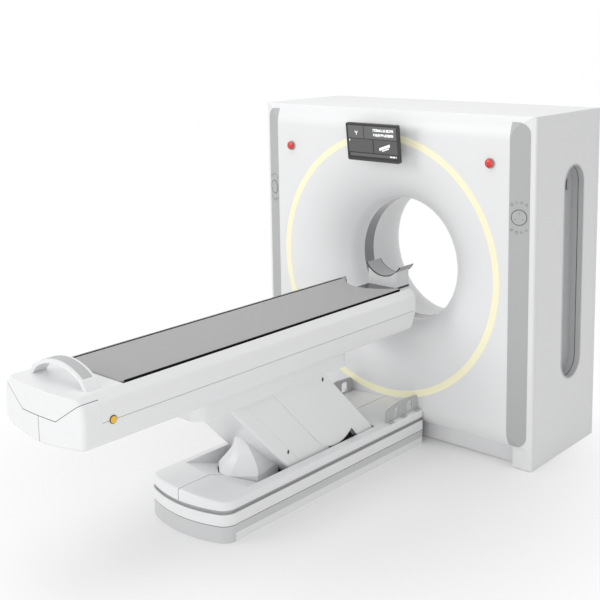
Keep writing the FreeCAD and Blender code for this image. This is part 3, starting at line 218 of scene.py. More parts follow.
def new_group(name, inputs, outputs):
    """Empty node group with named sockets, and the wiring, entry and exit nodes in it."""
    group = bpy.data.node_groups.new(name, "ShaderNodeTree")
    for label, kind, default in inputs:
        socket = group.interface.new_socket(label, in_out="INPUT", socket_type=kind)
        if default is not None:
            socket.default_value = default
    for label, kind in outputs:
        group.interface.new_socket(label, in_out="OUTPUT", socket_type=kind)
    wiring = Wiring(group)
    entry = wiring.add("NodeGroupInput")
    leave = wiring.add("NodeGroupOutput")
    return group, wiring, entry.outputs, leave.inputs


def moulded_surface_group():
    """Sprayed or moulded skin: fine orange peel, faint shade drift and handling sheen."""
    group, w, into, out = new_group(
        "Moulded Surface",
        [("Vector", "NodeSocketVector", None), ("Shade", "NodeSocketColor", (0.8, 0.8, 0.8, 1)),
         ("Drift", "NodeSocketFloat", 0.03), ("Grain Scale", "NodeSocketFloat", 900.0),
         ("Grain", "NodeSocketFloat", 0.5), ("Low Roughness", "NodeSocketFloat", 0.3),
         ("High Roughness", "NodeSocketFloat", 0.42)],
        [("Color", "NodeSocketColor"), ("Roughness", "NodeSocketFloat"),
         ("Height", "NodeSocketFloat")])
    broad = w.noise(into["Vector"], 2.6, 4.0)
    patchy = w.noise(into["Vector"], 14.0, 5.0, 0.65)
    fine = w.noise(into["Vector"], into["Grain Scale"], 2.0)
    shade = w.mix(w.maths("MULTIPLY", broad, into["Drift"]), into["Shade"], (0.35, 0.36, 0.37, 1))
    w.join(shade, out["Color"])
    w.join(w.spread(patchy, into["Low Roughness"], into["High Roughness"]), out["Roughness"])
    w.join(w.maths("MULTIPLY", fine, into["Grain"]), out["Height"])
    return group


def machined_surface_group():
    """Turned or ground metal: long fine scratches along one direction."""
    group, w, into, out = new_group(
        "Machined Surface",
        [("Vector", "NodeSocketVector", None), ("Shade", "NodeSocketColor", (0.6, 0.6, 0.6, 1)),
         ("Stretch", "NodeSocketVector", (4.0, 300.0, 300.0))],
        [("Color", "NodeSocketColor"), ("Roughness", "NodeSocketFloat"),
         ("Height", "NodeSocketFloat")])
    scaled = w.add("ShaderNodeVectorMath", operation="MULTIPLY")
    w.join(into["Vector"], scaled.inputs[0])
    w.join(into["Stretch"], scaled.inputs[1])
    lines = w.noise(scaled.outputs[0], 3.0, 5.0, 0.7)
    smudge = w.noise(into["Vector"], 9.0, 3.0)
    shade = w.mix(w.spread(lines, 0.0, 0.35), into["Shade"], (0.25, 0.26, 0.27, 1))
    w.join(shade, out["Color"])
    w.join(w.spread(smudge, 0.22, 0.45), out["Roughness"])
    w.join(lines, out["Height"])
    return group


def coated_cloth_group():
    """Wipe-clean mat cover: pebbled coating over a fine knit."""
    group, w, into, out = new_group(
        "Coated Cloth",
        [("Vector", "NodeSocketVector", None), ("Shade", "NodeSocketColor", (0.4, 0.4, 0.4, 1)),
         ("Pebble Scale", "NodeSocketFloat", 700.0)],
        [("Color", "NodeSocketColor"), ("Roughness", "NodeSocketFloat"),
         ("Height", "NodeSocketFloat")])
    cells = w.add("ShaderNodeTexVoronoi")
    w.join(into["Vector"], cells.inputs["Vector"])
    w.join(into["Pebble Scale"], cells.inputs["Scale"])
    pebble = cells.outputs["Distance"]
    broad = w.noise(into["Vector"], 5.0, 4.0)
    dark = w.mix(w.spread(pebble, 0.0, 0.16), into["Shade"], (0.16, 0.165, 0.17, 1))
    shade = w.mix(w.spread(broad, 0.0, 0.10), dark, (0.62, 0.63, 0.64, 1))
    w.join(shade, out["Color"])
    w.join(w.spread(broad, 0.52, 0.68), out["Roughness"])
    w.join(w.maths("MULTIPLY", pebble, -1.0), out["Height"])
    return group


def laminate_group():
    """Two-and-two twill of a carbon laminate, by stepped stripes along X and Y."""
    group, w, into, out = new_group(
        "Twill Laminate",
        [("Vector", "NodeSocketVector", None), ("Tow", "NodeSocketFloat", 250.0)],
        [("Color", "NodeSocketColor"), ("Roughness", "NodeSocketFloat"),
         ("Height", "NodeSocketFloat")])
    split = w.add("ShaderNodeSeparateXYZ")
    w.join(into["Vector"], split.inputs[0])
    across = w.maths("MULTIPLY", split.outputs[0], into["Tow"])
    along = w.maths("MULTIPLY", split.outputs[1], into["Tow"])
    step = w.maths("FLOOR", across)
    turn = w.maths("FLOOR", along)
    phase = w.maths("MODULO", w.maths("ADD", w.maths("ADD", step, turn), 4096.0), 4.0)
    over = w.maths("LESS_THAN", phase, 2.0)
    shade = w.mix(over, (0.022, 0.022, 0.025, 1), (0.065, 0.067, 0.072, 1))
    w.join(shade, out["Color"])
    w.join(w.spread(over, 0.30, 0.42), out["Roughness"])
    w.join(w.maths("MULTIPLY", over, 0.5), out["Height"])
    return group


def pane_group():
    """One rectangle of the screen's picture, 1 inside it."""
    group, w, into, out = new_group(
        "Screen Pane",
        [("X", "NodeSocketFloat", None), ("Z", "NodeSocketFloat", None),
         ("Middle X", "NodeSocketFloat", 0.0), ("Middle Z", "NodeSocketFloat", 0.0),
         ("Half Width", "NodeSocketFloat", 0.1), ("Half Height", "NodeSocketFloat", 0.1)],
        [("Mask", "NodeSocketFloat")])
    sides = []
    for place, middle, half in (("X", "Middle X", "Half Width"), ("Z", "Middle Z", "Half Height")):
        away = w.maths("ABSOLUTE", w.maths("SUBTRACT", into[place], into[middle]))
        sides.append(w.maths("LESS_THAN", away, into[half]))
    w.join(w.maths("MULTIPLY", sides[0], sides[1]), out["Mask"])
    return group


GROUPS = {}
WELD = 0.00001     # distance within which vertices of a made piece are merged


def group_node(w, name):
    return w.add("ShaderNodeGroup", node_tree=GROUPS[name])


def new_material(name, metallic=0.0, coat=0.0, coat_roughness=0.08):
    material = bpy.data.materials.new(name)
    material.use_nodes = True
    w = Wiring(material.node_tree)
    shader = material.node_tree.nodes["Principled BSDF"]
    shader.inputs["Metallic"].default_value = metallic
    shader.inputs["Coat Weight"].default_value = coat
    shader.inputs["Coat Roughness"].default_value = coat_roughness
    place = w.add("ShaderNodeTexCoord").outputs["Object"]
    return material, w, shader, place


def finish_surface(w, group, shader, distance):
    """Joins a surface group to the shader, with its height as a bump."""
    bump = w.add("ShaderNodeBump")
    bump.inputs["Distance"].default_value = distance
    bump.inputs["Strength"].default_value = 0.35
    w.join(group.outputs["Height"], bump.inputs["Height"])
    w.join(group.outputs["Color"], shader.inputs["Base Color"])
    w.join(group.outputs["Roughness"], shader.inputs["Roughness"])
    w.join(bump.outputs["Normal"], shader.inputs["Normal"])


def moulded(name, shade, low, high, grain_scale=900.0, grain=0.5, drift=0.03, coat=0.0,
            specular=0.5, line=None, dark=PAINTED_SEAM_SHADE):
    """Moulded finish, with painted shade in seams or bands where line(w, x, y, z) gives 1."""
    material, w, shader, place = new_material(name, coat=coat)
    shader.inputs["Specular IOR Level"].default_value = specular
    surface = group_node(w, "Moulded Surface")
    w.join(place, surface.inputs["Vector"])
    for label, value in (("Shade", (*shade, 1)), ("Drift", drift), ("Grain Scale", grain_scale),
                         ("Grain", grain), ("Low Roughness", low), ("High Roughness", high)):
        surface.inputs[label].default_value = value
    finish_surface(w, surface, shader, 0.0002)
    # Paints the dark colour as shade into seam gaps and grooves where the mask gives 1.
    if line:
        split = w.add("ShaderNodeSeparateXYZ")
        w.join(place, split.inputs[0])
        seam = line(w, *split.outputs)
        w.join(w.mix(seam, surface.outputs["Color"], (*dark, 1)), shader.inputs["Base Color"])
    return material


def band_mask(w, value, low, high):
    """1 where a value lies between two others."""
    node = group_node(w, "Band")
    w.join(value, node.inputs["Value"])
    node.inputs["Low"].default_value = low
    node.inputs["High"].default_value = high
    return node.outputs["Mask"]


def band_group():
    """One value tested against two others."""
    group, w, into, out = new_group(
        "Band",
        [("Value", "NodeSocketFloat", None), ("Low", "NodeSocketFloat", 0.0),
         ("High", "NodeSocketFloat", 1.0)],
        [("Mask", "NodeSocketFloat")])
    above = w.maths("GREATER_THAN", into["Value"], into["Low"])
    below = w.maths("LESS_THAN", into["Value"], into["High"])
    w.join(w.maths("MULTIPLY", above, below), out["Mask"])
    return group


def ramp(w, value, start, end, low, high):
    """A value carried from start..end to low..high and held beyond."""
    node = w.add("ShaderNodeMapRange")
    w.join(value, node.inputs["Value"])
    for label, number in (("From Min", start), ("From Max", end), ("To Min", low),
                          ("To Max", high)):
        node.inputs[label].default_value = number
    return node.outputs["Result"]


def nose_seam_shade(w, x, y, z):
    """Painted shade in the lid's seam on the nose: level in the middle, rising towards both
    corners; below the lid, painted shade in the centre seam.
    """
    out = w.maths("ABSOLUTE", x)
    level = w.maths("ADD", ramp(w, out, LID_LEVEL_X, LID_CORNER_X, LID_LOW_Z, LID_CORNER_Z),
                    ramp(w, out, LID_CORNER_X, LID_SIDE_X, 0.0, LID_SIDE_RISE))
    line = band_mask(w, w.maths("SUBTRACT", z, level), -LID_SEAM_HALF, LID_SEAM_HALF)
    line = w.maths("MULTIPLY", line, w.maths("LESS_THAN", y, LID_BACK_Y))
    below = w.maths("MULTIPLY", centre_seam_shade(w, x, y, z), w.maths("LESS_THAN", z, LID_LOW_Z))
    return w.maths("MAXIMUM", line, below)


def centre_seam_shade(w, x, y, z):
    """Painted shade in the joint along the middle of a piece."""
    return band_mask(w, x, -CENTRE_SEAM_HALF, CENTRE_SEAM_HALF)


def skirt_groove_shade(w, x, y, z):
    """Painted shade in the groove under the base's top cover."""
    return band_mask(w, z, *SKIRT_GROOVE_Z)


def plinth_gap_shade(w, x, y, z):
    """Painted shade in the gap where the skirt ends above the plinth."""
    return band_mask(w, z, *PLINTH_LINE_Z)


def machined(name, shade, stretch):
    material, w, shader, place = new_material(name, metallic=1.0)
    surface = group_node(w, "Machined Surface")
    w.join(place, surface.inputs["Vector"])
    surface.inputs["Shade"].default_value = (*shade, 1)
    surface.inputs["Stretch"].default_value = stretch
    finish_surface(w, surface, shader, 0.0001)
    return material


def mat_cover_material():
    material, w, shader, place = new_material("Coated_Mat_Cover")
    surface = group_node(w, "Coated Cloth")
    w.join(place, surface.inputs["Vector"])
    surface.inputs["Shade"].default_value = (*bpy.context.scene.scanner_colours.mat, 1)
    shader.inputs["Sheen Weight"].default_value = 0.15
    finish_surface(w, surface, shader, 0.0003)
    return material


def laminate_material():
    material, w, shader, place = new_material("Carbon_Laminate", coat=0.4)
    surface = group_node(w, "Twill Laminate")
    w.join(place, surface.inputs["Vector"])
    finish_surface(w, surface, shader, 0.0001)
    return material


def light_ring_material():
    """Diffuser that glows faintly, a little uneven where the lamps sit behind it."""
    colours = bpy.context.scene.scanner_colours
    material, w, shader, place = new_material("Lit_Diffuser")
    spots = w.noise(place, 7.0, 2.0)
    deep = tuple(c * 0.93 for c in colours.light_ring)
    shade = w.mix(spots, (*colours.light_ring, 1), (*deep, 1))
    w.join(shade, shader.inputs["Base Color"])
    w.join(shade, shader.inputs["Emission Color"])
    shader.inputs["Emission Strength"].default_value = 0.15
    w.join(w.spread(spots, 0.35, 0.5), shader.inputs["Roughness"])
    return material


# Screen picture: middle and half size of each pane in metres from the screen's centre,
# and its brightness.
SCREEN_PANES = [
    (-0.109, 0.052, 0.053, 0.034, 0.085), (0.057, 0.052, 0.108, 0.034, 0.085),
    (-0.080, -0.022, 0.083, 0.036, 0.060), (0.088, -0.022, 0.078, 0.036, 0.060),
    (0.004, -0.072, 0.160, 0.008, 0.075),
]


def screen_material():
    """Dark glass over a generic picture: panes, two rows of marks and a couch symbol."""
    material, w, shader, place = new_material("Screen_Picture", coat=0.3, coat_roughness=0.03)
    low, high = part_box("display_glass")
    middle = (low + high) / 2.0
    split = w.add("ShaderNodeSeparateXYZ")
    w.join(place, split.inputs[0])
    x = w.maths("SUBTRACT", split.outputs[0], middle.x)
    z = w.maths("SUBTRACT", split.outputs[2], middle.z)

    def pane(mx, mz, hx, hz, px=None, pz=None):
        node = group_node(w, "Screen Pane")
        w.join(x if px is None else px, node.inputs["X"])
        w.join(z if pz is None else pz, node.inputs["Z"])
        for label, value in (("Middle X", mx), ("Middle Z", mz), ("Half Width", hx),
                             ("Half Height", hz)):
            node.inputs[label].default_value = value
        return node.outputs["Mask"]

    picture = (0.006, 0.006, 0.007, 1)
    for mx, mz, hx, hz, tone in SCREEN_PANES:
        picture = w.mix(pane(mx, mz, hx, hz), picture, (tone, tone, tone * 1.02, 1))
    bright = (0.75, 0.76, 0.78, 1)
    broken = w.maths("GREATER_THAN", w.noise(place, 160.0, 1.0), 0.47)
    for row in (0.066, 0.040):
        marks = w.maths("MULTIPLY", pane(0.078, row, 0.068, 0.0075), broken)
        picture = w.mix(marks, picture, bright)
    tail = w.maths("MULTIPLY", pane(0.137, -0.072, 0.022, 0.004), broken)
    picture = w.mix(tail, picture, bright)
    leaning = w.maths("SUBTRACT", z, w.maths("MULTIPLY", x, 0.34))
    picture = w.mix(pane(0.082, -0.052, 0.036, 0.0075, pz=leaning), picture, bright)
    picture = w.mix(pane(0.088, -0.066, 0.024, 0.003, pz=leaning), picture, bright)
    tick = w.maths("ABSOLUTE", w.maths("ADD", x, 0.105))
    hook = w.maths("SUBTRACT", z, tick)
    picture = w.mix(pane(-0.105, 0.046, 0.010, 0.0035, pz=hook), picture, bright)
    picture = w.mix(pane(-0.105, 0.043, 0.0022, 0.008), picture, bright)
    picture = w.mix(pane(-0.155, 0.005, 0.003, 0.005), picture, bright)
    w.join(picture, shader.inputs["Base Color"])
    w.join(picture, shader.inputs["Emission Color"])
    shader.inputs["Emission Strength"].default_value = 0.55
    w.join(w.spread(w.noise(place, 30.0, 3.0), 0.10, 0.18), shader.inputs["Roughness"])
    return material


FINISHES = {}
# Nodes whose finish differs from the rest of their slot: in tone, or by painted shade in their
# seams and groove.
NODE_FINISHES = {"base_plinth": "plinth_grey", "pull_recesses": "recess_grey",
                 "lock_knob_right": "window_grey", "lock_knob_left": "window_grey",
                 "nose_cap": "nose_white", "nose_lid": "nose_white",
                 "base_skirt": "skirt_white",
                 "base_cover_left": "base_white", "base_cover_right": "base_white"}


def build_finishes():
    """All groups and materials, by the record's slot names."""
    colours = bpy.context.scene.scanner_colours
    GROUPS.update({
        "Moulded Surface": moulded_surface_group(), "Machined Surface": machined_surface_group(),
        "Coated Cloth": coated_cloth_group(), "Twill Laminate": laminate_group(),
        "Screen Pane": pane_group(), "Band": band_group()})
    FINISHES.update({
        "housing_white": moulded("Housing_White", colours.housing, 0.30, 0.40),
        "couch_white": moulded("Couch_White", colours.couch, 0.26, 0.36),
        "panel_grey": moulded("Panel_Grey", colours.panel, 0.40, 0.52, 1400.0, 0.8, 0.10),
        "trim_grey": moulded("Trim_Grey", colours.trim, 0.42, 0.55, 1200.0, 0.8, 0.12),
        "dark_plastic": moulded("Dark_Plastic", (0.022, 0.022, 0.024), 0.38, 0.52, 1200.0, 1.0,
                                0.10),
        "window_grey": moulded("Window_Film", (0.20, 0.205, 0.21), 0.18, 0.28, 300.0, 0.2, 0.1,
                               0.3),
        "light_diffuser": light_ring_material(),
        "screen_glass": screen_material(),
        "stop_red": moulded("Stop_Red", colours.stop, 0.22, 0.32, 700.0, 0.3, 0.05, 0.4),
        "button_yellow": moulded("Button_Yellow", colours.release, 0.25, 0.35, 700.0, 0.3, 0.05,
                                 0.3),
        "frame_paint": moulded("Frame_Paint", (0.20, 0.215, 0.23), 0.42, 0.60, 500.0, 1.6, 0.25),
        "steel": machined("Ground_Steel", (0.55, 0.56, 0.57), (4.0, 260.0, 260.0)),
        "aluminium": machined("Turned_Aluminium", (0.70, 0.71, 0.72), (200.0, 6.0, 200.0)),
        "belt_rubber": moulded("Belt_Rubber", (0.02, 0.02, 0.02), 0.6, 0.75, 600.0, 2.0, 0.2),
        "mat_fabric": mat_cover_material(),
        "carbon": laminate_material(),
        "head_shell": moulded("Head_Moulding", colours.head, 0.25, 0.36, 800.0, 0.5, 0.12, 0.3),
        # Plinth finish: dark painted shade in the gap above the plinth.
        "plinth_grey": moulded("Plinth_Grey", (0.60, 0.605, 0.61), 0.42, 0.55, line=plinth_gap_shade),
        "seal_black": moulded("Seal_Black", (0.012, 0.012, 0.012), 0.8, 0.95, 500.0, 2.0, 0.05,
                              specular=0.05),
        # Nose and base finishes: dark painted shade in their seams; skirt finish: mid grey painted
        # shade in its groove.
        "nose_white": moulded("Nose_White", colours.couch, 0.26, 0.36, line=nose_seam_shade),
        "base_white": moulded("Base_White", colours.couch, 0.26, 0.36, line=centre_seam_shade),
        "skirt_white": moulded("Skirt_White", colours.couch, 0.26, 0.36, line=skirt_groove_shade,
                               dark=(0.50, 0.505, 0.51)),
        "recess_grey": moulded("Recess_Grey", (0.56, 0.565, 0.57), 0.30, 0.42, 900.0, 0.5, 0.10),
    })


# ---------------------------------------------------------------- modelling helpers
def deselect():
    if bpy.context.object and bpy.context.object.mode != "OBJECT":
        bpy.ops.object.mode_set(mode="OBJECT")
    bpy.ops.object.select_all(action="DESELECT")


def only(piece):
    deselect()
    piece.select_set(True)
    bpy.context.view_layer.objects.active = piece


def pick(piece, kind, test):
    """In edit mode, selects only the faces, edges or vertices that pass a test."""
    bpy.ops.mesh.select_mode(type={"faces": "FACE", "edges": "EDGE", "verts": "VERT"}[kind])
    bpy.ops.mesh.select_all(action="DESELECT")
    mesh = bmesh.from_edit_mesh(piece.data)
    for element in getattr(mesh, kind):
        if test(element):
            element.select = True
    mesh.select_flush_mode()
    bmesh.update_edit_mesh(piece.data)


def edge_middle(edge):
    return (edge.verts[0].co + edge.verts[1].co) / 2.0


def settle(piece, name, body, slot, finish=None):
    """Puts a finished piece's place in its mesh, and gives it its finish and its body."""
    only(piece)
    bpy.ops.object.transform_apply(location=True, rotation=True, scale=True)
    piece.name = name
    piece.data.name = name
    piece.data.materials.clear()
    piece.data.materials.append(FINISHES[finish or slot])
    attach(piece, body)
    return piece


def facing(spot, normal):
    """Matrix that stands a piece made flat at the origin on a face."""
    return Matrix.Translation(spot) @ normal.to_track_quat("Z", "Y").to_matrix().to_4x4()


def close_mesh():
    """Welds the edited mesh, turns its faces outward and leaves edit mode."""
    bpy.ops.mesh.select_all(action="SELECT")
    bpy.ops.mesh.remove_doubles(threshold=WELD)
    bpy.ops.mesh.normals_make_consistent(inside=False)
    bpy.ops.object.mode_set(mode="OBJECT")


def open_mesh(piece, size=(1.0, 1.0, 1.0)):
    """Puts a primitive's place and size in its mesh, and enters edit mode with all selected."""
    piece.scale = size
    bpy.ops.object.transform_apply(location=True, rotation=True, scale=True)
    bpy.ops.object.mode_set(mode="EDIT")
    bpy.ops.mesh.select_all(action="SELECT")


def disc(name, spot, normal, radius, height, body, slot, sides=32, bevel=0.0, squeeze=1.0,
         spin=0.0):
    """Small raised disc or polygon lying on a face."""
    deselect()
    bpy.ops.mesh.primitive_circle_add(vertices=sides, radius=radius, fill_type="NGON")
    piece = bpy.context.object
    bpy.ops.object.mode_set(mode="EDIT")
    bpy.ops.mesh.select_all(action="SELECT")
    bpy.ops.mesh.extrude_region_move(TRANSFORM_OT_translate={"value": (0, 0, height)})
    if bevel:
        pick(piece, "edges", lambda e: edge_middle(e).z > height * 0.9 and not e.is_boundary
             and all(v.co.z > height * 0.9 for v in e.verts))
        bpy.ops.mesh.bevel(offset=bevel, segments=3, affect="EDGES")
    bpy.ops.mesh.select_all(action="SELECT")
    bpy.ops.mesh.normals_make_consistent(inside=False)
    bpy.ops.object.mode_set(mode="OBJECT")
    shape = Matrix.Rotation(spin, 4, "Z") @ Matrix.Diagonal((squeeze, 1.0, 1.0, 1.0))
    piece.matrix_world = facing(spot, normal) @ shape
    return settle(piece, name, body, slot)


def hoop(name, spot, normal, radius, thickness, body, slot, sides=48):
    """Thin ring lying on a face."""
    deselect()
    bpy.ops.mesh.primitive_circle_add(vertices=8, radius=thickness, location=(radius, 0, 0),
                                      rotation=(math.pi / 2, 0, 0))
    piece = bpy.context.object
    open_mesh(piece)
    bpy.ops.mesh.spin(steps=sides, angle=2.0 * math.pi, center=(0, 0, 0), axis=(0, 0, 1))
    close_mesh()
    piece.matrix_world = facing(spot, normal)
    return settle(piece, name, body, slot)


def bar(name, low, high, body, slot, rounding, finish=None):
    """Round-edged strip or pad between two corners."""
    deselect()
    middle = (Vector(low) + Vector(high)) / 2.0
    bpy.ops.mesh.primitive_cube_add(size=1.0, location=middle)
    piece = bpy.context.object
    open_mesh(piece, Vector(high) - Vector(low))
    bpy.ops.mesh.bevel(offset=rounding, segments=2, affect="EDGES")
    bpy.ops.object.mode_set(mode="OBJECT")
    return settle(piece, name, body, slot, finish)


def bead(name, x, outline, radius, body, slot):
    """Thin round bead along a closed outline of Y and Z pairs at one X."""
    deselect()
    points = [Vector((x, *spot)) for spot in outline]
    points.append(points[0])
    legs = [b - a for a, b in zip(points, points[1:])]
    turns = [turn_about_x(a, b) for a, b in zip(legs, legs[1:] + legs[:1])]
    bpy.ops.mesh.primitive_circle_add(vertices=8, radius=radius)
    piece = bpy.context.object
    piece.matrix_world = (Matrix.Translation(points[0]) @ Matrix.Rotation(-turns[-1] / 2.0, 4, "X")
                          @ legs[0].to_track_quat("Z", "Y").to_matrix().to_4x4())
    open_mesh(piece)
    for n, (point, leg) in enumerate(zip(points[1:], legs)):
        bpy.ops.mesh.extrude_edges_move(TRANSFORM_OT_translate={"value": leg})
        bend = (turns[n - 1] + turns[n]) / 2.0
        if abs(bend) > 1e-6:
            bpy.ops.transform.rotate(value=-bend, orient_axis="X", center_override=point)
    close_mesh()
    bpy.ops.object.shade_smooth_by_angle(angle=math.radians(50))
    return settle(piece, name, body, slot)


def turn_about_x(first, second):
    """Angle about X from one direction to another."""
    return math.atan2(first.cross(second).x, first.dot(second))


def arc_points(centre, radius, start, end, steps=24):
    """Points of an arc as pairs, by angles in degrees."""
    for n in range(steps + 1):
        turn = math.radians(start + (end - start) * n / steps)
        yield centre[0] + radius * math.cos(turn), centre[1] + radius * math.sin(turn)


def sweep_round_y(centre, sweep, steps):
    """Spins the edited profile about Y from one side of the middle to the other."""
    bpy.ops.mesh.select_all(action="SELECT")
    bpy.ops.transform.rotate(value=-sweep, orient_axis="Y", center_override=centre)
    bpy.ops.mesh.spin(steps=steps, angle=2.0 * sweep, center=centre, axis=(0, 1, 0))
    close_mesh()
    bpy.ops.object.shade_smooth_by_angle(angle=math.radians(40))


def on_link(pivot, along, ahead):
    """Row-frame Y and Z of a point along a link and ahead of its centre line."""
    u = (-math.cos(LINK_ANGLE), math.sin(LINK_ANGLE))
    w = (-u[1], u[0])
    return pivot[0] + along * u[0] + ahead * w[0], pivot[1] + along * u[1] + ahead * w[1]


# ---------------------------------------------------------------- settings
class ScannerSizes(bpy.types.PropertyGroup):
    """Sizes of what is added to the bare scanner."""

    mat_crown: bpy.props.FloatProperty(
        name="Mat crown", description="How far the mat's edges fall below its middle",
        default=0.0035, unit="LENGTH")
    mat_edge: bpy.props.FloatProperty(
        name="Mat edge", description="Rounding of the mat's edges", default=0.005, unit="LENGTH")
    dial_ring: bpy.props.FloatProperty(
        name="Dial ring", description="Radius of the dark ring on each control dial",
        default=0.0385, unit="LENGTH")
    symbol_arc: bpy.props.FloatProperty(
        name="Symbol arc", description="Radius of the arcs of symbols round each dial",
        default=0.068, unit="LENGTH")
    inlay: bpy.props.FloatProperty(
        name="Handle inlay", description="Width of the soft strip on the push handle",
        default=0.046, unit="LENGTH")
    screw: bpy.props.FloatProperty(
        name="Cover screw", description="Radius of the oval screws in the lift covers",
        default=0.011, unit="LENGTH")


class ScannerColours(bpy.types.PropertyGroup):
    """Main colours of the scanner."""

    housing: bpy.props.FloatVectorProperty(
        name="Gantry", description="Gantry covers", subtype="COLOR", default=(0.84, 0.845, 0.85))
    couch: bpy.props.FloatVectorProperty(
        name="Couch", description="Couch and base covers", subtype="COLOR",
        default=(0.83, 0.835, 0.84))
    panel: bpy.props.FloatVectorProperty(
        name="Panels", description="Slanted control panels", subtype="COLOR",
        default=(0.47, 0.475, 0.475))
    trim: bpy.props.FloatVectorProperty(
        name="Trim", description="Plinth, brackets and recesses", subtype="COLOR",
        default=(0.50, 0.505, 0.51))
    mat: bpy.props.FloatVectorProperty(
        name="Mat", description="Coated mat cover", subtype="COLOR", default=(0.37, 0.37, 0.37))
    light_ring: bpy.props.FloatVectorProperty(
        name="Light ring", description="Glowing ring round the bore", subtype="COLOR",
        default=(0.90, 0.87, 0.62))
    stop: bpy.props.FloatVectorProperty(
        name="Stop buttons", description="Emergency stop buttons", subtype="COLOR",
        default=(0.72, 0.02, 0.015))
    release: bpy.props.FloatVectorProperty(
        name="Release buttons", description="Couch release buttons", subtype="COLOR",
        default=(0.90, 0.52, 0.01))
    head: bpy.props.FloatVectorProperty(
        name="Head cradle", description="Moulded head cradle", subtype="COLOR",
        default=(0.42, 0.425, 0.43))


# ---------------------------------------------------------------- pieces
class SCANNER_OT_finishes(bpy.types.Operator):
    """Give every carried-over solid its own procedural finish"""

    bl_idname = "scanner.finishes"
    bl_label = "Finishes"

    def execute(self, context):
        build_finishes()
        slots = {row["node"]: row["material_slot"] for row in frame["record"]["subparts"]}
        for node, piece in frame["nodes"].items():
            finish = NODE_FINISHES.get(node, slots[node])
            piece.data.materials.clear()
            piece.data.materials.append(FINISHES[finish])
        return {"FINISHED"}


class SCANNER_OT_mat(bpy.types.Operator):
    """Make the padded mat that lies on the tabletop"""

    bl_idname = "scanner.mat"
    bl_label = "Mat"

    def execute(self, context):
        sizes = context.scene.scanner_sizes
        low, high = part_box("mat")
        size = high - low
        deselect()
        bpy.ops.mesh.primitive_plane_add(
            size=1.0, location=((low.x + high.x) / 2.0, (low.y + high.y) / 2.0, high.z))
        piece = context.object
        open_mesh(piece, (size.x, size.y, 1.0))
        for rounding, segments, end in ((*MAT_FOOT_CORNER, low.y), (*MAT_HEAD_CORNER, high.y)):
            pick(piece, "verts", lambda v: abs(v.co.y - end) < 0.001
                 and abs(abs(v.co.x) - high.x) < 0.001)
            bpy.ops.mesh.bevel(offset=rounding, segments=segments, affect="VERTICES")
        columns = [side * x for x in MAT_COLUMNS for side in (1, -1) if x or side > 0]
        self.cut(columns, (1, 0, 0))
        steps = [high.y - MAT_TAPER * part for part in MAT_END_ROWS]
        steps += [low.y + MAT_FOOT_ROW] + [low.y + MAT_ROW * n for n in range(1, MAT_ROWS)]
        self.cut(steps, (0, 1, 0))
        self.hollow(piece, high, columns)
        for x in columns:
            pick(piece, "verts", lambda v: abs(v.co.x - x) < NEAR)
            fall = sizes.mat_crown * (abs(x) / high.x) ** 3
            bpy.ops.transform.translate(value=(0, 0, -fall))
        pick(piece, "verts", lambda v: abs(v.co.x) > MAT_COLUMNS[0] + NEAR)
        bpy.ops.transform.translate(value=(0, 0, -sizes.mat_crown))
        bpy.ops.mesh.select_all(action="SELECT")
        bpy.ops.mesh.extrude_region_move(TRANSFORM_OT_translate={"value": (0, 0, -size.z)})
        bpy.ops.transform.resize(value=(1, 1, 0), center_override=(0, 0, low.z))
        bpy.ops.mesh.select_all(action="SELECT")
        bpy.ops.mesh.normals_make_consistent(inside=False)
        pick(piece, "edges", lambda e: edge_middle(e).z > low.z + size.z * 0.6
             and any(abs(f.normal.z) < 0.5 for f in e.link_faces)
             and any(f.normal.z > 0.5 for f in e.link_faces))
        bpy.ops.mesh.bevel(offset=sizes.mat_edge, segments=4, affect="EDGES")
        bpy.ops.object.mode_set(mode="OBJECT")
        bpy.ops.object.shade_smooth_by_angle(angle=math.radians(50))
        settle(piece, "mat_pad", "cradle", "mat_fabric")
        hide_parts("mat")
        return {"FINISHED"}

    def cut(self, places, axis):
        """Bisects the open mesh across one axis at each place."""
        for place in places:
            bpy.ops.mesh.select_all(action="SELECT")
            bpy.ops.mesh.bisect(plane_co=[place * part for part in axis], plane_no=axis)

    def hollow(self, piece, high, columns):
        """Draws the head end back to a round hollow, with the rows near it in step."""
        sag = MAT_END_Y - MAT_NOTCH_Y
        reach = MAT_NOTCH_HALF
        radius = (reach ** 2 + sag ** 2) / (2.0 * sag)
        for x in columns:
            if abs(x) > reach - NEAR:
                continue
            depth = sag - radius + math.sqrt(radius ** 2 - x ** 2)
            for part in MAT_END_ROWS[:-1]:
                y = high.y - MAT_TAPER * part
                pick(piece, "verts", lambda v: abs(v.co.x - x) < NEAR
                     and abs(v.co.y - y) < NEAR)
                bpy.ops.transform.translate(value=(0, -depth * (1.0 - part), 0))


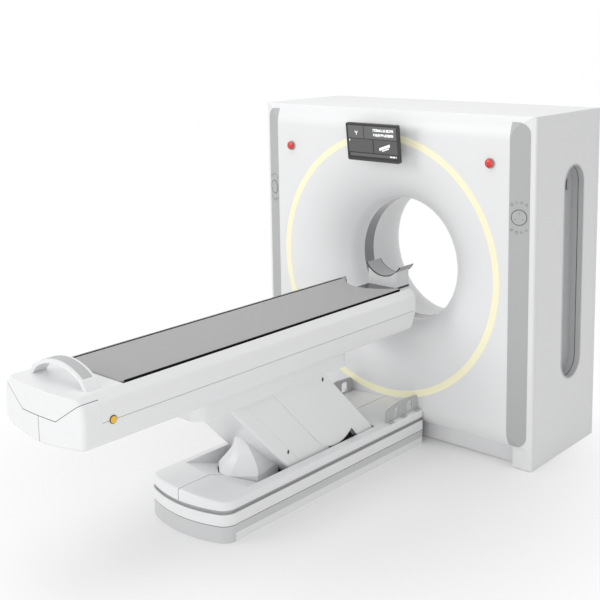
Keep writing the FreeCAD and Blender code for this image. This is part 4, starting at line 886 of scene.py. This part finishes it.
class SCANNER_OT_dial_marks(bpy.types.Operator):
    """Add the ring and the arcs of plain symbols to each control dial"""

    bl_idname = "scanner.dial_marks"
    bl_label = "Dial marks"

    def execute(self, context):
        sizes = context.scene.scanner_sizes
        run = FLANK_SIDE_X - FLANK_FACE_X
        rise = FLANK_SIDE_Y - FLANK_FACE_Y
        length = math.hypot(run, rise)
        for side, label in ((1, "right"), (-1, "left")):
            normal = Vector((side * rise / length, -run / length, 0.0))
            across = Vector((side * run / length, rise / length, 0.0))
            y = FLANK_FACE_Y + (DIAL_X - FLANK_FACE_X) * rise / run
            foot = Vector((side * DIAL_X, y, DIAL_Z))
            face = foot + normal * DIAL_FACE
            skin = foot + normal * STRIP_FACE

            def round_dial(middle, angle, radius, stretch=1.0):
                return (middle + across * radius * math.cos(angle)
                        + Vector((0, 0, radius * math.sin(angle) * stretch)))

            hoop(f"dial_ring_{label}", face, normal, sizes.dial_ring, 0.0015, "base",
                 "dark_plastic")
            disc(f"dial_hub_{label}", face, normal, 0.006, 0.0008, "base", "panel_grey",
                 bevel=0.0003)
            for n in range(3):
                turn = math.radians(90.0 + 120.0 * n)
                disc(f"dial_mark_{label}_{n}", round_dial(face, turn, 0.02), normal, 0.0035,
                     0.0006, "base", "dark_plastic", sides=3, spin=turn)
            for n, (degrees, sides) in enumerate(SYMBOLS):
                spot = round_dial(skin, math.radians(degrees), sizes.symbol_arc, 1.12)
                hoop(f"symbol_{label}_{n}", spot, normal, 0.0062, 0.0007, "base",
                     "dark_plastic", sides=sides)
        return {"FINISHED"}


class SCANNER_OT_cover_screws(bpy.types.Operator):
    """Add the oval screws that hold the lift covers"""

    bl_idname = "scanner.cover_screws"
    bl_label = "Cover screws"

    def execute(self, context):
        radius = context.scene.scanner_sizes.screw
        for name, (pivot, along, ahead, x, body) in COVER_SCREWS.items():
            y, z = on_link(pivot, along, ahead)
            for side, label in ((1, "right"), (-1, "left")):
                disc(f"cover_screw_{name}_{label}", Vector((side * (x - 0.0010), y, z)),
                     Vector((side, 0, 0)), radius, 0.0014, body, "dark_plastic", bevel=0.0003,
                     squeeze=0.62)
        return {"FINISHED"}


class SCANNER_OT_head_rim(bpy.types.Operator):
    """Add the dark rim along both ends of the head cradle"""

    bl_idname = "scanner.head_rim"
    bl_label = "Head cradle rim"

    def execute(self, context):
        low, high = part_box("head_cradle")
        middle = low.z + HEAD_RADIUS + HEAD_FLOOR
        for label, y in (("foot", low.y), ("head", high.y)):
            deselect()
            bpy.ops.mesh.primitive_circle_add(
                vertices=12, radius=0.0035, fill_type="NGON",
                location=(0.0, y, middle - HEAD_RADIUS - 0.0025), rotation=(0, math.pi / 2, 0))
            piece = context.object
            open_mesh(piece)
            sweep_round_y((0.0, y, middle), HEAD_SWEEP, 40)
            settle(piece, f"head_rim_{label}", "cradle", "dark_plastic")
        return {"FINISHED"}


class SCANNER_OT_edge_strips(bpy.types.Operator):
    """Add black strips as painted shade in the slots along both edges of the tabletop"""

    bl_idname = "scanner.edge_strips"
    bl_label = "Edge strips"

    def execute(self, context):
        low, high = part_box("mat")
        for side, label in ((1, "right"), (-1, "left")):
            ends = sorted((side * (high.x + 0.0002), side * (high.x + 0.0032)))
            # Each strip is a black sheet standing in for the shade in the slot beside the mat.
            bar(f"edge_strip_{label}", (ends[0], low.y + 0.018, high.z - 0.036),
                (ends[1], high.y - 0.012, high.z - 0.0018), "cradle", "dark_plastic", 0.0008,
                "seal_black")
        return {"FINISHED"}


class SCANNER_OT_handle_inlay(bpy.types.Operator):
    """Add the grey soft inlay along the top of the push handle"""

    bl_idname = "scanner.handle_inlay"
    bl_label = "Handle inlay"

    def execute(self, context):
        low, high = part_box("push_handle")
        middle = (low.y + high.y) / 2.0
        deselect()
        bpy.ops.mesh.primitive_plane_add(size=1.0, location=(0.0, middle, high.z + 0.0003),
                                         rotation=(0, math.pi / 2, 0))
        piece = context.object
        open_mesh(piece, (0.0012, context.scene.scanner_sizes.inlay, 1.0))
        sweep_round_y((0.0, middle, high.z - HANDLE_ARC_R),
                      math.asin(HANDLE_ARC_HALF / HANDLE_ARC_R), 36)
        settle(piece, "handle_inlay", "couch", "trim_grey")
        return {"FINISHED"}


class SCANNER_OT_recess_shade_and_knob_rings(bpy.types.Operator):
    """Add dark beads of painted shade round both pull recesses, the split line as painted shade,
    and the knob rings
    """

    bl_idname = "scanner.recess_trim"
    bl_label = "Recess trim"

    def execute(self, context):
        for side, label in ((1, "right"), (-1, "left")):
            for name, (x, inset, radius) in RECESS_BEADS.items():
                half = RECESS_HALF - inset
                outline = [*arc_points((RECESS_Y, RECESS_Z1 - RECESS_HALF), half, 0, 180),
                           *arc_points((RECESS_Y, RECESS_Z0 + RECESS_HALF), half, 180, 360)]
                # Dark beads standing in for the shade at the recess lip and down its wall.
                bead(f"recess_bead_{name}_{label}", side * x, outline, radius, "base",
                     "dark_plastic")
            ends = sorted((side * (RECESS_FLOOR_X - 0.0004), side * (RECESS_FLOOR_X + 0.0010)))
            # Dark bar painted as shade in the split line's seam.
            bar(f"recess_split_{label}", (ends[0], KNOB_Y - 0.001, SPLIT_Z[0]),
                (ends[1], KNOB_Y + 0.001, SPLIT_Z[1]), "base", "dark_plastic", 0.0003)
            hoop(f"knob_ring_{label}", Vector((side * (RECESS_FLOOR_X + 0.0008), KNOB_Y, KNOB_Z)),
                 Vector((side, 0, 0)), KNOB_RING, 0.0012, "base", "dark_plastic")
        return {"FINISHED"}


class SCANNER_OT_stage(bpy.types.Operator):
    """Set the pale floor, the soft lamps, the background and the camera"""

    bl_idname = "scanner.stage"
    bl_label = "Stage"

    def execute(self, context):
        scene = context.scene
        self.floor()
        self.world(scene)
        self.lamps()
        self.camera(scene)
        scene.view_settings.view_transform = "Standard"
        return {"FINISHED"}

    def floor(self):
        deselect()
        bpy.ops.mesh.primitive_plane_add(size=60.0, location=(0, 0, 0))
        floor = bpy.context.object
        floor.name = "studio_floor"
        material = bpy.data.materials.new("Studio_Floor")
        material.use_nodes = True
        w = Wiring(material.node_tree)
        shader = material.node_tree.nodes["Principled BSDF"]
        shader.inputs["Base Color"].default_value = (0.93, 0.93, 0.93, 1)
        shader.inputs["Roughness"].default_value = 0.9
        shader.inputs["Specular IOR Level"].default_value = 0.0
        away = w.add("ShaderNodeVectorMath", operation="LENGTH")
        w.join(w.add("ShaderNodeTexCoord").outputs["Object"], away.inputs[0])
        fade = w.add("ShaderNodeMapRange", interpolation_type="SMOOTHSTEP")
        w.join(away.outputs["Value"], fade.inputs["Value"])
        fade.inputs["From Min"].default_value = FLOOR_FADE[0]
        fade.inputs["From Max"].default_value = FLOOR_FADE[1]
        seen = w.add("ShaderNodeLightPath")
        white = w.add("ShaderNodeEmission")
        blend = w.add("ShaderNodeMixShader")
        w.join(w.maths("MULTIPLY", w.maths("MAXIMUM", seen.outputs["Is Camera Ray"],
                                           seen.outputs["Is Glossy Ray"]),
                       fade.outputs["Result"]), blend.inputs[0])
        w.join(shader.outputs[0], blend.inputs[1])
        w.join(white.outputs[0], blend.inputs[2])
        w.join(blend.outputs[0], material.node_tree.nodes["Material Output"].inputs[0])
        floor.data.materials.append(material)

    def world(self, scene):
        world = bpy.data.worlds.new("Studio_World")
        scene.world = world
        world.use_nodes = True
        w = Wiring(world.node_tree)
        light = world.node_tree.nodes["Background"]
        light.inputs["Color"].default_value = (1, 1, 1, 1)
        light.inputs["Strength"].default_value = WORLD_STRENGTH
        white = w.add("ShaderNodeBackground")
        white.inputs["Color"].default_value = (1, 1, 1, 1)
        white.inputs["Strength"].default_value = 1.0
        path = w.add("ShaderNodeLightPath")
        seen = w.maths("MAXIMUM", path.outputs["Is Camera Ray"],
                       w.maths("MAXIMUM", path.outputs["Is Glossy Ray"],
                               path.outputs["Is Transmission Ray"]))
        blend = w.add("ShaderNodeMixShader")
        w.join(seen, blend.inputs[0])
        w.join(light.outputs[0], blend.inputs[1])
        w.join(white.outputs[0], blend.inputs[2])
        w.join(blend.outputs[0], world.node_tree.nodes["World Output"].inputs[0])

    def lamps(self):
        for name, (spot, size, power) in LAMPS.items():
            deselect()
            bpy.ops.object.light_add(type="AREA", location=spot)
            lamp = bpy.context.object
            lamp.name = name
            lamp.data.shape = "DISK"
            lamp.data.size = size
            lamp.data.energy = power
            aim = Vector(LAMP_AIM) - Vector(spot)
            lamp.rotation_euler = aim.to_track_quat("-Z", "Y").to_euler()

    def camera(self, scene):
        deselect()
        bpy.ops.object.camera_add(location=VIEW_POINT)
        camera = bpy.context.object
        back = Vector((math.sin(VIEW_HEADING) * math.cos(VIEW_PITCH),
                       -math.cos(VIEW_HEADING) * math.cos(VIEW_PITCH), math.sin(VIEW_PITCH)))
        right = Vector((math.cos(VIEW_HEADING), math.sin(VIEW_HEADING), 0.0))
        up = back.cross(right)
        c, s = math.cos(VIEW_ROLL), math.sin(VIEW_ROLL)
        rolled_right = right * c + up * s
        rolled_up = up * c - right * s
        turn = Matrix((rolled_right, rolled_up, back)).transposed()
        camera.matrix_world = Matrix.Translation(VIEW_POINT) @ turn.to_4x4()
        camera.data.sensor_width = 36.0
        camera.data.lens = VIEW_FOCAL / PHOTO_PIXELS * 36.0
        camera.data.shift_x = (PHOTO_PIXELS / 2.0 - VIEW_CENTRE[0]) / PHOTO_PIXELS
        camera.data.shift_y = (VIEW_CENTRE[1] - PHOTO_PIXELS / 2.0) / PHOTO_PIXELS
        scene.camera = camera


class SCANNER_PT_panel(bpy.types.Panel):
    """Lists the scanner's pieces, sizes and colours"""

    bl_idname = "SCANNER_PT_panel"
    bl_label = "CT Scanner"
    bl_space_type = "VIEW_3D"
    bl_region_type = "UI"
    bl_category = "Scanner"

    def draw(self, context):
        layout = self.layout
        for operator in PIECE_OPERATORS:
            layout.operator(operator.bl_idname)
        for group in (context.scene.scanner_sizes, context.scene.scanner_colours):
            column = layout.column()
            for key in group.__annotations__:
                column.prop(group, key)


PIECE_OPERATORS = (SCANNER_OT_finishes, SCANNER_OT_mat, SCANNER_OT_edge_strips,
                   SCANNER_OT_handle_inlay, SCANNER_OT_dial_marks, SCANNER_OT_recess_shade_and_knob_rings,
                   SCANNER_OT_cover_screws, SCANNER_OT_head_rim, SCANNER_OT_stage)
CLASSES = (ScannerSizes, ScannerColours, *PIECE_OPERATORS, SCANNER_PT_panel)


def register():
    for cls in CLASSES:
        bpy.utils.register_class(cls)
    bpy.types.Scene.scanner_sizes = bpy.props.PointerProperty(type=ScannerSizes)
    bpy.types.Scene.scanner_colours = bpy.props.PointerProperty(type=ScannerColours)


def unregister():
    del bpy.types.Scene.scanner_colours
    del bpy.types.Scene.scanner_sizes
    for cls in reversed(CLASSES):
        bpy.utils.unregister_class(cls)


def main():
    register()
    for operator in PIECE_OPERATORS:
        area, name = operator.bl_idname.split(".")
        getattr(getattr(bpy.ops, area), name)()


if __name__ == "__main__":
    main()
